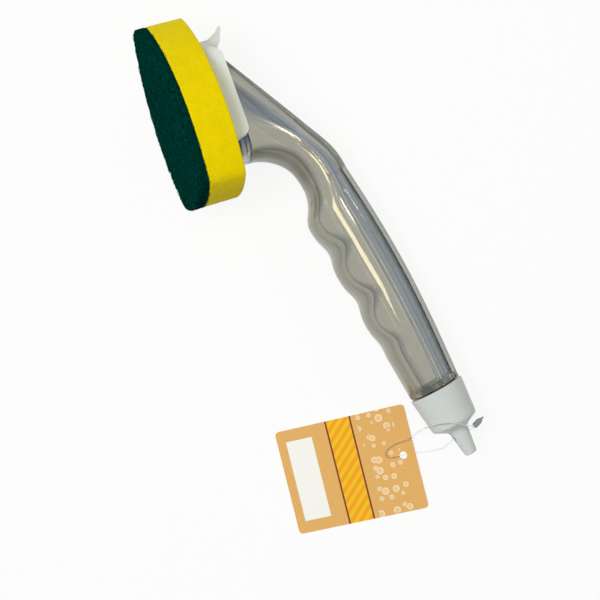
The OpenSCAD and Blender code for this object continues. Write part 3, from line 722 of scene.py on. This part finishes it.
def railShape(x):
    # Height of the rail across its width: 1 on its top, and 0 at the foot of its rounded shoulders
    bar = np.clip((grip["coverWidth"] / 2 - np.abs(x)) / grip["railEdge"], 0, 1)
    return np.sqrt(np.clip(1 - (1 - bar) ** 2.4, 0, 1))


def sideLine(r, i, inward, deep, count, ease):
    # Section from the left edge under the rail, down round the finger side and up to the right edge
    g = grip
    lip = r["back"][i] - r["rail"][i]
    middle = r["knee"][i]
    knee = lip - g["facet"] * (r["back"][i] - middle) - inward * 0.4
    q = np.pi / 2 * (0.5 - 0.5 * np.cos(np.linspace(0, np.pi, 120)))
    arcX = (r["half"][i] - inward) * np.clip(np.cos(q), 0, 1) ** r["power"][i]
    # The finger waves die away up the flank: they are whole at the bottom and gone at the knee
    drop = np.clip(np.sin(q), 0, 1) ** r["power"][i]
    arcZ = knee - (knee - middle - deep) * drop + (r["front"][i] - middle) * drop * np.sin(q) ** 3
    x = np.r_[g["coverWidth"] / 2, arcX]
    z = np.r_[lip - inward, arcZ]
    line = resample(np.stack([np.r_[x, -x[-2::-1]], np.r_[z, z[-2::-1]]], -1), 4 * count)
    span = max(1, int(ease / np.linalg.norm(line[1] - line[0])))
    # Ends stay where they are: the line is carried on through them by point reflection
    before = 2 * line[0] - line[span:0:-1]
    after = 2 * line[-1] - line[-2:-span - 2:-1]
    eased = runningMean(np.concatenate([before, line, after]), span)
    return resample(eased[span:-span], count)


def place3d(r, lines):
    # Section points (sideways, up), one row per ring, to upright X, Y, Z
    n = len(lines)
    flat = r["centre"][:n, None] + lines[..., 1:2] * r["up"][:n, None]
    return np.stack([flat[..., 0], lines[..., 0], flat[..., 1]], -1)


# Painted light marks on the clear skin, by rings counted from the foot: a band of painted reflection, and
# painted shade by the holder, at the throat's low edge and along the wave's line. The band's ends are shares
# of the way from the rail's foot to the knee, and the low edge and the wave's line are millimetres up from
# the front.
marks = {
    "bandFrom": (0.66, 0.0), "bandFromRings": (36, 50), "bandTo": (1.75, 1.1), "bandToRings": 40,
    "heelRings": (3, 16), "lowRings": (52, 30), "lowUp": (2.4, 2.2),
    "waveRings": 30, "neckWave": (2.3, 1.7), "offBand": 5.0,
}


def markings(r, lines):
    # facetPlace runs over the blue band of painted reflection (0.22 to 0.72) on the side that lies
    # uppermost: from the rail's foot on the grip, and lower down the flank over the neck. wavePlace runs
    # from a wavy line above the fingers into the flank, heelPlace fades away from the holder, and lowPlace
    # is the throat's edge; all three place painted shade.
    g, m = grip, marks
    x, z = lines[..., 0], lines[..., 1]
    ring = np.arange(len(lines))[:, None]
    back, rail, kneeAt, front = (r[key][:, None] for key in ("back", "rail", "knee", "front"))
    lip = back - rail
    knee = lip - g["facet"] * (back - kneeAt)
    start = mix(*m["bandFrom"], smooth((ring - m["bandFromRings"][0]) / m["bandFromRings"][1]))
    end = mix(*m["bandTo"], smooth(ring / m["bandToRings"]))
    across = ((lip - z) / (lip - knee) - start) / (end - start)
    heel = 1 - smooth((ring - m["heelRings"][0]) / m["heelRings"][1])
    lowUp, lowFade = m["lowUp"]
    low = 1 - smooth((ring - m["lowRings"][0]) / m["lowRings"][1])
    bulge = (kneeAt - front) / (g["fingerDepth"] / 2)
    onset = smooth((ring - g["neckRings"]) / m["waveRings"])
    line = front + mix(m["neckWave"][0], 3.6 - 0.7 * bulge, onset)
    reach = mix(m["neckWave"][1], 2.0 - 1.5 * bulge, onset)
    return {
        "facetPlace": np.where(x < 0, 0.22 + 0.5 * across, m["offBand"]),
        "wavePlace": 0.2 + 0.4 * (z - line) / reach,
        "heelPlace": np.broadcast_to(heel, x.shape),
        "lowPlace": low * (1 - smooth((z - front - lowUp) / lowFade)),
    }


def handleBody():
    g, r = grip, rings()
    ring = np.arange(len(r["back"]))
    count, neck = g["sectionPoints"], g["neckRings"] + 1
    # The knee is sharp on the neck and the grip, and well rounded over the elbow
    (rise, risen), (fall, fallen) = g["elbowRings"]
    overElbow = smooth((ring - rise) / risen) * (1 - smooth((ring - fall) / fallen))
    ease = g["kneeEase"] + g["elbowEase"] * overElbow
    outerLines = np.array([sideLine(r, i, 0, 0, count, ease[i]) for i in ring])
    innerLines = np.array([
        sideLine(r, i, g["wall"], g["fingerWall"], count, g["innerEase"]) for i in ring])
    outer, inner = place3d(r, outerLines), place3d(r, innerLines)

    def railRows(rise, inward, skin):
        # Rail over the back of the neck: a low rounded bar, flat inside, whose edges meet the skin's
        x = np.linspace(-g["coverWidth"] / 2, g["coverWidth"] / 2, 25)
        z = (r["back"] - r["rail"] - inward)[:neck, None] + rise[:neck, None] * railShape(x)
        rows = place3d(r, np.stack([np.broadcast_to(x, z.shape), z], -1))
        rows[:, 0], rows[:, -1] = skin[:neck, -1], skin[:neck, 0]
        return rows

    railOut, railIn = railRows(r["rail"], 0, outer), railRows(0 * r["rail"], g["wall"], inner)
    # Strips that join the outer skin to the inner one: along the open back, then round the ends
    strips = [
        (outer[neck - 1:, 0], inner[neck - 1:, 0]), (outer[neck - 1:, -1], inner[neck - 1:, -1]),
        (outer[0], inner[0]), (railOut[0], railIn[0]), (railOut[-1], railIn[-1]), (outer[-1], inner[-1])]
    parts = [outer, inner, railOut, railIn] + [np.stack(pair, 1) for pair in strips]
    # The painted reflection, highlight and shade marks are on the outer skin alone; elsewhere each has its
    # value for plain plastic
    shares = {key: [values if p is outer else np.full(p.shape[:2], marks["offBand"] * (key == "facetPlace"))
                    for p in parts] for key, values in markings(r, outerLines).items()}
    shares["inside"] = [np.full(p.shape[:2], float(p is inner or p is railIn)) for p in parts]
    return makePiece("clearHandle", [(toRow(p), False) for p in parts], "handle",
                     clearStyrene, merge=4e-6, smoothAngle=32, shares=shares)


def gripToRow(points):
    # Points about the grip's axis (finger way, side, along from the elbow) to metres on the table
    _, elbow, along, up = gripAxis()
    p = np.asarray(points, float)
    flat = elbow + p[..., 2:3] * along - p[..., 0:1] * up
    return toRow(np.concatenate([flat[..., 0:1], p[..., 1:2], flat[..., 1:2]], -1))


def revolved(radius, height, a):
    # Points on the table about the grip's axis: one row per height, one column per angle
    points = np.broadcast_arrays(radius * np.cos(a), radius * np.sin(a), height)
    return gripToRow(np.stack(points, -1))


def backCover():
    # Strip with a rounded top that closes the grip's back
    g = grip
    half = g["coverWidth"] / 2 - 0.05
    t = np.linspace(0.05, g["length"] - 0.35, 150)[:, None]
    crown = np.linspace(-1, 1, 31)
    edge = np.clip((1 - np.abs(crown)) * half / 1.3, 0, 1)
    topZ = -0.2 - (1 - np.sqrt(np.clip(1 - (1 - edge) ** 2, 0, 1)))
    bottom = -g["coverRise"] - g["wall"]
    sideZ = np.linspace(-1.4, bottom, 6)
    x = np.r_[crown * half, np.full(6, half), np.linspace(half, -half, 15)[1:-1], np.full(6, -half)]
    z = np.r_[topZ, sideZ, np.full(13, bottom), sideZ[::-1]]
    rings3d = np.stack(np.broadcast_arrays(-(backAt(t) + z), x, t), -1)
    piece = makePiece("backCover", [(gripToRow(capped(rings3d)), True)], "handle",
                      clearCoverStyrene)
    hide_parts("back_cover")


seam = {"gripRadius": 0.3, "neckRadius": 0.16, "inset": 0.05}


def coverSeams():
    # Thin bead along each side of the rail and the cover, from the foot to the shoulder: dark partly as the
    # joint's own colour and partly as painted shade of the gap
    g, r = grip, rings()
    ring = np.arange(len(r["back"]))
    radius = mix(seam["neckRadius"], seam["gripRadius"], smooth((ring - g["neckRings"] + 6) / 8))
    height = (r["back"] - r["rail"] + seam["inset"])[:, None] * r["up"] + r["centre"]
    for side, name in ((1, "leftSeam"), (-1, "rightSeam")):
        path = np.insert(height, 1, side * (g["coverWidth"] / 2 + seam["inset"]), axis=1)
        makePiece(name, [(toRow(tube(path, radius, 8)), True)], "handle", seamStyrene,
                  smoothAngle=180)


handle = handleBody()
backCover()
coverSeams()
cadCopy("clearFoot", "foot", "handle", clearFootStyrene, 0.3)


# Neck finish and shoulder
finish = {
    "shoulder": 2.6, "outer": 9.4, "bore": 7.4, "length": 14.6, "threadRise": 0.75, "pitch": 3.2,
    "threadTurns": 2.6, "threadStart": 3.4, "threadHalf": 1.15,
}


def neckFinish():
    # Shoulder plate with the handle's outline, and the screwed neck revolved about the grip's axis
    g, f, r = grip, finish, rings()
    last = len(r["back"]) - 1
    side = sideLine(r, last, 0.05, 0.05, 150, g["kneeEase"])
    x = np.linspace(-g["coverWidth"] / 2, g["coverWidth"] / 2, 27)[1:-1]
    top = r["back"][last] - g["coverRise"] + (g["coverRise"] - 0.2) * railShape(x)
    outline = np.concatenate([side, np.stack([x, top], -1)])
    angle = np.arctan2(outline[:, 0], -outline[:, 1])
    order = np.argsort(angle)
    a = np.linspace(-np.pi, np.pi, 216, endpoint=False)
    plate = np.interp(a, angle[order], np.linalg.norm(outline, axis=1)[order], period=2 * np.pi)
    base = g["length"] - 0.3
    z0 = g["length"] + f["shoulder"]
    rows = [
        (f["bore"], base), (plate, base), (plate, z0 - 0.6), (plate - 0.2, z0 - 0.18), (plate - 0.6, z0),
        (f["outer"] + 0.3, z0), (f["outer"], z0 + 0.3)]
    for z in np.linspace(0.6, f["length"] - 0.5, 66):
        # Thread: a ridge whose height follows the distance to the helix and dies away at its ends
        up = z - f["threadStart"]
        turn = up / f["pitch"] - a / (2 * np.pi)
        near = np.abs(turn - np.round(turn)) * f["pitch"]
        ends = smooth((up + 1) / 1.2) * smooth((f["threadTurns"] * f["pitch"] - up + 1) / 1.2)
        ridge = smooth(np.clip(1 - near / f["threadHalf"], 0, 1) * 1.25)
        rows.append((f["outer"] + f["threadRise"] * ridge * ends, z0 + z))
    top = z0 + f["length"]
    rows += [(f["outer"] - 0.15, top - 0.15), (f["outer"] - 0.5, top), (f["bore"] + 0.3, top),
             (f["bore"], top - 0.3), (f["bore"], base)]
    radius = np.array([reach + 0 * a for reach, _ in rows])
    points = revolved(radius, np.array([[z] for _, z in rows]), a)
    return makePiece("neckFinish", [(points, True)], "handle", clearStyrene,
                     shares={"inside": [np.full(radius.shape, 0.7)]})


joinTo(handle, neckFinish(), "UNION", 32)
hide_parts("handle_body")

# Cap
cap = {
    "rimRadius": 13.6, "endRadius": 11.6, "height": 19, "bore": 10.4, "rimGap": 0.6, "ribs": 60,
    "ribDepth": 0.07, "cone": 2.6, "tailRoot": 4.6, "tailTip": 3.2, "tailLength": 13.8, "tipRound": 1.0,
    "hole": 3.0, "holeAt": 3.6, "seal": 1.5,
}


def capBody():
    # Profile from the inner top, down the bore, round the rim, up the ribbed skirt and out along the
    # tail: radius, height, and how deep the ribs are there
    c = cap
    z0 = grip["length"] + finish["shoulder"]
    innerTop = finish["length"] + c["seal"] + 0.1
    rim, bore, root = c["rimGap"], c["bore"], c["tailRoot"]
    skirtTop = rim + c["height"]
    tail = skirtTop + c["cone"]
    tip, tipRound = tail + c["tailLength"], c["tipRound"]

    def skirt(z):
        return mix(c["rimRadius"], c["endRadius"], (z - rim) / c["height"])

    profile = [(0, innerTop, 0), (bore - 0.6, innerTop, 0), (bore - 0.15, innerTop - 0.15, 0)]
    profile += [(bore, z, 0) for z in np.linspace(innerTop - 0.6, rim + 0.5, 18)]
    rimOut = skirt(rim)
    profile += [(bore + 0.2, rim + 0.12, 0), (bore + 0.6, rim, 0), (rimOut - 0.7, rim, 0),
                (rimOut - 0.2, rim + 0.15, 0.2), (rimOut, rim + 0.55, 0.5)]
    profile += [(skirt(z), z, 1) for z in np.linspace(rim + 1.2, skirtTop - 1.5, 26)]
    for q in np.linspace(0.1, 1, 7):
        turn = q * np.radians(64)
        profile.append((
            skirt(skirtTop) - 1.1 * (1 - np.cos(turn)), skirtTop - 1.2 + 1.1 * np.sin(turn), 1 - q))
    # Cone, then a concave fillet into the tapered tail
    coneFrom = profile[-1][:2]
    fillet = [(root + out, tail + up) for out, up in ((1.9, -0.55), (1.0, 0.05), (0.35, 0.95), (0, 2.2))]
    profile += [(mix(coneFrom[0], fillet[0][0], s), mix(coneFrom[1], fillet[0][1], s), 0)
                for s in np.linspace(0, 1, 8)[1:]]
    profile += [(x, z, 0) for x, z in fillet[1:]]
    profile += [(mix(root, c["tailTip"], s), mix(tail + 2.2, tip - tipRound, s), 0)
                for s in np.linspace(0, 1, 18)[1:]]
    profile += [(c["tailTip"] - tipRound * (1 - np.cos(q)), tip - tipRound + tipRound * np.sin(q), 0)
                for q in np.linspace(0, np.pi / 2, 8)[1:]]
    profile += [(c["tailTip"] * 0.35, tip, 0), (0, tip, 0)]
    radius, height, ribbed = (np.array(column)[:, None] for column in zip(*profile))
    a = circle(c["ribs"] * 6)
    groove = (0.5 - 0.5 * np.cos(a * c["ribs"])) ** 3
    points = revolved(radius - c["ribDepth"] * 1.3 * ribbed * groove, height + z0, a)
    piece = makePiece("screwCap", [(points, True)], "cap", whiteCap)
    # Hanging hole, bored through the tail from the finger side to the back
    b = circle(48)
    side, along = c["hole"] / 2 * np.cos(b), c["hole"] / 2 * np.sin(b) + z0 + tail + c["holeAt"]
    bored = np.stack(np.broadcast_arrays([[-8.0], [8.0]], side, along), -1)
    drill = makePiece("drill", [(gripToRow(capped(bored)), True)], "cap", whiteCap)
    joinTo(piece, drill, "DIFFERENCE", 35)
    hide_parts("cap")


capBody()
cad["cap_seal"].data.materials.clear()
cad["cap_seal"].data.materials.append(sealRubber)


# Nylon loop: the route's points are the part's own, in metres
loopRoute = [
    (0.1097, 0.0483, 0.0178), (0.1092, 0.0468, 0.0204), (0.1074, 0.0452, 0.0242), (0.1054, 0.0422, 0.0265),
    (0.1038, 0.0384, 0.027), (0.1029, 0.0342, 0.026), (0.1029, 0.0296, 0.023), (0.1034, 0.0262, 0.0172),
    (0.1044, 0.0238, 0.0106), (0.1056, 0.0208, 0.005), (0.107, 0.0176, 0.0025), (0.1083, 0.014, 0.002),
    (0.1082, 0.009, 0.0019), (0.1088, 0.0046, 0.00185), (0.1104, 0.0018, 0.0018), (0.1126, 0.0012, 0.0018),
    (0.1141, 0.0032, 0.0019), (0.1146, 0.0067, 0.002), (0.1148, 0.0092, 0.00125), (0.115, 0.0113, 0.00054),
    (0.1154, 0.0136, 0.00048), (0.1161, 0.0168, 0.00058), (0.1169, 0.0226, 0.0026), (0.1168, 0.0266, 0.006),
    (0.1162, 0.03, 0.0106), (0.1146, 0.0332, 0.015), (0.113, 0.0366, 0.0164), (0.1123, 0.0407, 0.0144),
    (0.1117, 0.0448, 0.0125), (0.1115, 0.0476, 0.0124), (0.111, 0.0492, 0.0142), (0.1099, 0.0489, 0.0165),
]
loop = {"diameter": 0.8, "steps": 6}


def throughPoints(route, steps):
    # Smooth curve through the points: cubic pieces whose slopes come from the neighbours
    p = np.array(route, float)
    a, b, c, d = p[np.r_[0, 0:len(p) - 2]], p[:-1], p[1:], p[np.r_[2:len(p), len(p) - 1]]
    q = np.linspace(0, 1, steps, endpoint=False)[None, :, None]
    a, b, c, d = (x[:, None] for x in (a, b, c, d))
    curve = 0.5 * (2 * b + (c - a) * q + (2 * a - 5 * b + 4 * c - d) * q ** 2
                   + (3 * b - a - 3 * c + d) * q ** 3)
    return np.concatenate([curve.reshape(-1, 3), p[-1:]])


# The lock's profile is (radius as a share of the barrel's, height), and it lies by two turns
lock = {
    "start": (110.1, 48.1, 17.2), "turn": 117.5, "tilt": 87, "radius": 1.4,
    "profile": [(0, 0), (0.75, 0), (0.9, 0.15), (1.0, 0.55), (1.0, 0.8), (1.0, 3.2), (0.93, 3.6),
                (0.7, 4.6), (0.5, 4.95), (0.35, 5.2), (0.3, 6.1), (0.2, 6.32), (0, 6.4)],
}


def lockBody():
    # Small barrel with a nib, revolved
    line = np.array(lock["profile"], float) * (lock["radius"], 1)
    t, y = np.radians(lock["turn"]), np.radians(lock["tilt"])
    along = np.array([np.sin(y) * np.cos(t), np.sin(y) * np.sin(t), np.cos(y)])
    side = np.array([-np.sin(t), np.cos(t), 0])
    a = circle(32)[:, None]
    ring = np.cos(a) * side + np.sin(a) * np.cross(along, side)
    points = lock["start"] + line[:, None, 1:2] * along + line[:, None, 0:1] * ring[None]
    piece = makePiece("loopLock", [(points * mm, True)], "cap", greyNylon)
    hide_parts("loop_lock")
    return piece


def nylonLoop():
    path = throughPoints(loopRoute, loop["steps"])
    skin = tube(path, loop["diameter"] / 2 * mm)
    piece = makePiece("tagLoop", [(skin, True)], "cap", clearNylon, smoothAngle=60)
    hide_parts("tag_loop")
    lockBody()
    swingTag()


# Swing tag: its sizes, how it lies, and its printed areas in millimetres along X and Y
tag = {
    "length": 67, "width": 53, "thick": 0.4, "corner": 2, "hole": 3.8, "holeFromEdge": 6.2, "holeOff": -1.5,
    "place": (113.4, -18.1), "turn": -6.2, "rise": 1.1,
    "bandY": (27.0, 38.5), "ruleY": ((26.0, 26.9), (38.6, 39.5)), "stripeMm": 5.2,
    "panelX": (6.0, 47.0), "panelY": (4.5, 18.0), "bubbleY": (42.0, 60.0), "bubblesPerMm": 0.19,
    "bubbleSize": (0.1, 0.36), "bubbleCore": 0.78,
    "board": ("#DDA95F", "#E5B46E"), "band": "#F0C21A", "stripe": "#F4A024", "rule": "#7A3A1E",
    "panel": "#F6F5F1", "bubbleRim": "#F6EBD2", "bubble": "#EFC98F",
}


# Bleached board, offset printed: tan ground, a striped band and a bare white panel
def cardMaterial():
    t = tag
    material, shader = newMaterial("printedBoard", Roughness=0.55, Specular_IOR_Level=0.35)
    at = (node(material, "UVMap", {"uv_map": "cardUv"}), "UV")
    split = node(material, "SeparateXYZ", inputs={"Vector": at})
    space = node(material, "TexCoord")
    fibre = node(material, "TexNoise", inputs={
        "Vector": (space, "Object"), "Scale": perMetre(0.6), "Detail": 4.0})
    ground = node(material, "ValToRGB", inputs={"Fac": (fibre, "Fac")}, stops=[
        (0.3, t["board"][0]), (0.7, t["board"][1])])
    # Diagonal stripes: the part of a stripe's width that each point lies at
    part = (split, "X")
    for operation, by in (("ADD", (split, "Y")), ("MULTIPLY", 1 / t["stripeMm"]), ("FRACT", 0.0)):
        part = (node(material, "Math", {"operation": operation}, {0: part, 1: by}), "Value")
    # Soap bubbles: round spots of uneven size over the upper part
    every = t["bubblesPerMm"]
    spread = node(material, "Mapping", inputs={"Vector": at, "Scale": (every, every, 1.0)})
    spots = node(material, "TexVoronoi", {"feature": "F1", "voronoi_dimensions": "2D"}, {
        "Vector": (spread, "Vector"), "Scale": 1.0, "Randomness": 0.8})
    uneven = node(material, "SeparateColor", inputs={"Color": (spots, "Color")})
    size = node(material, "MapRange", inputs={
        "Value": (uneven, "Red"), "To Min": t["bubbleSize"][0], "To Max": t["bubbleSize"][1]})
    core = node(material, "Math", {"operation": "MULTIPLY"}, {
        0: (size, "Result"), 1: t["bubbleCore"]})

    def within(side, limits):
        return [("GREATER_THAN", (split, side), limits[0]), ("LESS_THAN", (split, side), limits[1])]

    # Each print is laid where all of its tests hold: (comparison, what it reads, limit)
    band, high = within("Y", t["bandY"]), within("Y", t["bubbleY"])
    prints = [
        (band, t["band"]), (band + [("LESS_THAN", part, 0.5)], t["stripe"]),
        *((within("Y", limits), t["rule"]) for limits in t["ruleY"]),
        (within("X", t["panelX"]) + within("Y", t["panelY"]), t["panel"]),
        ([("LESS_THAN", (spots, "Distance"), (size, "Result"))] + high, t["bubbleRim"]),
        ([("LESS_THAN", (spots, "Distance"), (core, "Value"))] + high, t["bubble"]),
    ]
    layers = []
    for tests, tone in prints:
        mask = 1.0
        for comparison, source, limit in tests:
            test = node(material, "Math", {"operation": comparison}, {0: source, 1: limit})
            both = node(material, "Math", {"operation": "MULTIPLY"}, {0: mask, 1: (test, "Value")})
            mask = (both, "Value")
        layers.append(("MIX", mask, tone))
    return dress(material, shader, layered(material, (ground, "Color"), layers), (fibre, "Fac"), 0.15, 0.03)


def swingTag():
    # Rings from the hole out to the card's outline, over the top, down the cut edge and back underneath
    t = tag
    hole = np.array([t["holeOff"], t["length"] - t["holeFromEdge"]])
    a = np.linspace(-np.pi, np.pi, 720, endpoint=False)
    way = np.stack([np.cos(a), np.sin(a)], -1)
    # Reach of the rectangle from the hole, then rounded corners by the distance to the corner's centre
    sides = np.array([[-t["width"] / 2, 0], [t["width"] / 2, t["length"]]]) - hole
    with np.errstate(divide="ignore"):
        reach = np.where(way > 0, sides[1] / way, np.where(way < 0, sides[0] / way, 1e9)).min(1)
    for x, y in ((0, 0), (0, 1), (1, 0), (1, 1)):
        inward = np.array([(1, -1)[x], (1, -1)[y]])
        centre = np.array([sides[x, 0], sides[y, 1]]) + t["corner"] * inward
        b = way @ centre
        disc = b * b - (centre @ centre - t["corner"] ** 2)
        tip = way * reach[:, None] - centre
        outside = (tip * inward < 0).all(1) & (disc > 0)
        reach = np.where(outside, b + np.sqrt(np.clip(disc, 0, None)), reach)
    share = np.linspace(0, 1, 30)[:, None] ** 1.4
    radius = t["hole"] / 2 + (reach - t["hole"] / 2) * share
    flat = hole + radius[..., None] * way
    flat = np.concatenate([flat, flat[::-1], flat[:1]])
    x, y = flat[..., 0], flat[..., 1]
    z = np.repeat([t["thick"], 0, t["thick"]], [30, 30, 1])[:, None]
    tilt, turn = np.arcsin(t["rise"] / t["length"]), np.radians(t["turn"])
    y, z = y * np.cos(tilt) - z * np.sin(tilt) - t["length"] / 2, y * np.sin(tilt) + z * np.cos(tilt)
    world = np.stack([
        t["place"][0] + x * np.cos(turn) - y * np.sin(turn),
        t["place"][1] + x * np.sin(turn) + y * np.cos(turn), z], -1) * mm
    piece = makePiece("swingTag", [(world, True)], "cap", cardMaterial(), smoothAngle=30,
                      uv=("cardUv", [flat + np.array([t["width"] / 2, 0])]))
    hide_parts("hang_tag")
    return piece


nylonLoop()


# Table and light
def seenRays(owner):
    # 1 for rays that show the background white: from the camera, through clear plastic and off gloss
    path = node(owner, "LightPath")
    seen = (path, "Is Camera Ray")
    for ray in ("Is Transmission Ray", "Is Glossy Ray"):
        seen = (node(owner, "Math", {"operation": "MAXIMUM"}, {0: seen, 1: (path, ray)}), "Value")
    return seen


room = {
    "half": 25.0, "height": -0.0002, "table": "#E4E4E2", "white": 0.9, "sky": "#DDE4EE", "skyStrength": 0.35,
}


def tableTop():
    # Pale table: white where it is seen, with the wand's soft shadow kept
    half, z = room["half"], room["height"]
    mesh = bpy.data.meshes.new("table")
    corners = [(x * half, y * half, z) for x, y in ((-1, -1), (1, -1), (1, 1), (-1, 1))]
    mesh.from_pydata(corners, [], [(0, 1, 2, 3)])
    obj = bpy.data.objects.new("table", mesh)
    bpy.context.scene.collection.objects.link(obj)
    material, shader = newMaterial(
        "paleTable", Base_Color=room["table"], Roughness=0.9, Specular_IOR_Level=0.0)
    glow = node(material, "Emission", inputs={"Color": "#FFFFFF", "Strength": 1.0})
    share = node(material, "Math", {"operation": "MULTIPLY"}, {
        0: seenRays(material), 1: room["white"]})
    blend = node(material, "MixShader", inputs={
        "Fac": (share, "Value"), 1: (shader, "BSDF"), 2: (glow, "Emission")})
    feed(material, material.node_tree.nodes["Material Output"], {"Surface": (blend, "Shader")})
    mesh.materials.append(material)


# Softboxes: name, place, aim, size, watts, colour, and whether gloss and clear plastic mirror them
lamps = [
    ("overhead", (-0.2, -0.35, 1.1), (0.0, 0.0, 0.0), (0.6, 0.6), 8.8, "#FFFFFF", False),
    ("window", (-0.14, 0.34, 1.17), (0.02, 0.02, 0.02), (0.38, 0.24), 2.6, "#FFF3C0", True),
    ("glint", (-0.20, 0.66, 0.84), (-0.04, 0.02, 0.02), (0.08, 0.05), 0.3, "#FFF2DC", True),
    ("edge", (0.10, 1.0, 0.62), (0.02, 0.02, 0.02), (0.6, 0.04), 0.5, "#F4F7FF", True),
]


def studioLight():
    world = bpy.data.worlds.new("studio")
    bpy.context.scene.world = world
    world.use_nodes = True
    ground = world.node_tree.nodes["Background"]
    feed(world, ground, {"Color": room["sky"], "Strength": room["skyStrength"]})
    white = node(world, "Background", inputs={"Color": "#FFFFFF"})
    blend = node(world, "MixShader", inputs={
        "Fac": seenRays(world), 1: (ground, "Background"), 2: (white, "Background")})
    feed(world, world.node_tree.nodes["World Output"], {"Surface": (blend, "Shader")})
    for name, place, aim, size, watts, colour, mirrored in lamps:
        data = bpy.data.lights.new(name, "AREA")
        data.shape, data.size, data.size_y = "RECTANGLE", size[0], size[1]
        data.energy, data.color = watts, srgb(colour)[:3]
        obj = bpy.data.objects.new(name, data)
        bpy.context.scene.collection.objects.link(obj)
        obj.visible_glossy = obj.visible_transmission = mirrored
        obj.location = place
        obj.rotation_mode = "QUATERNION"
        obj.rotation_quaternion = (Vector(aim) - Vector(place)).to_track_quat("-Z", "Y")


tableTop()
studioLight()
bpy.context.scene.view_settings.view_transform = "Standard"
print("table and lamps placed")
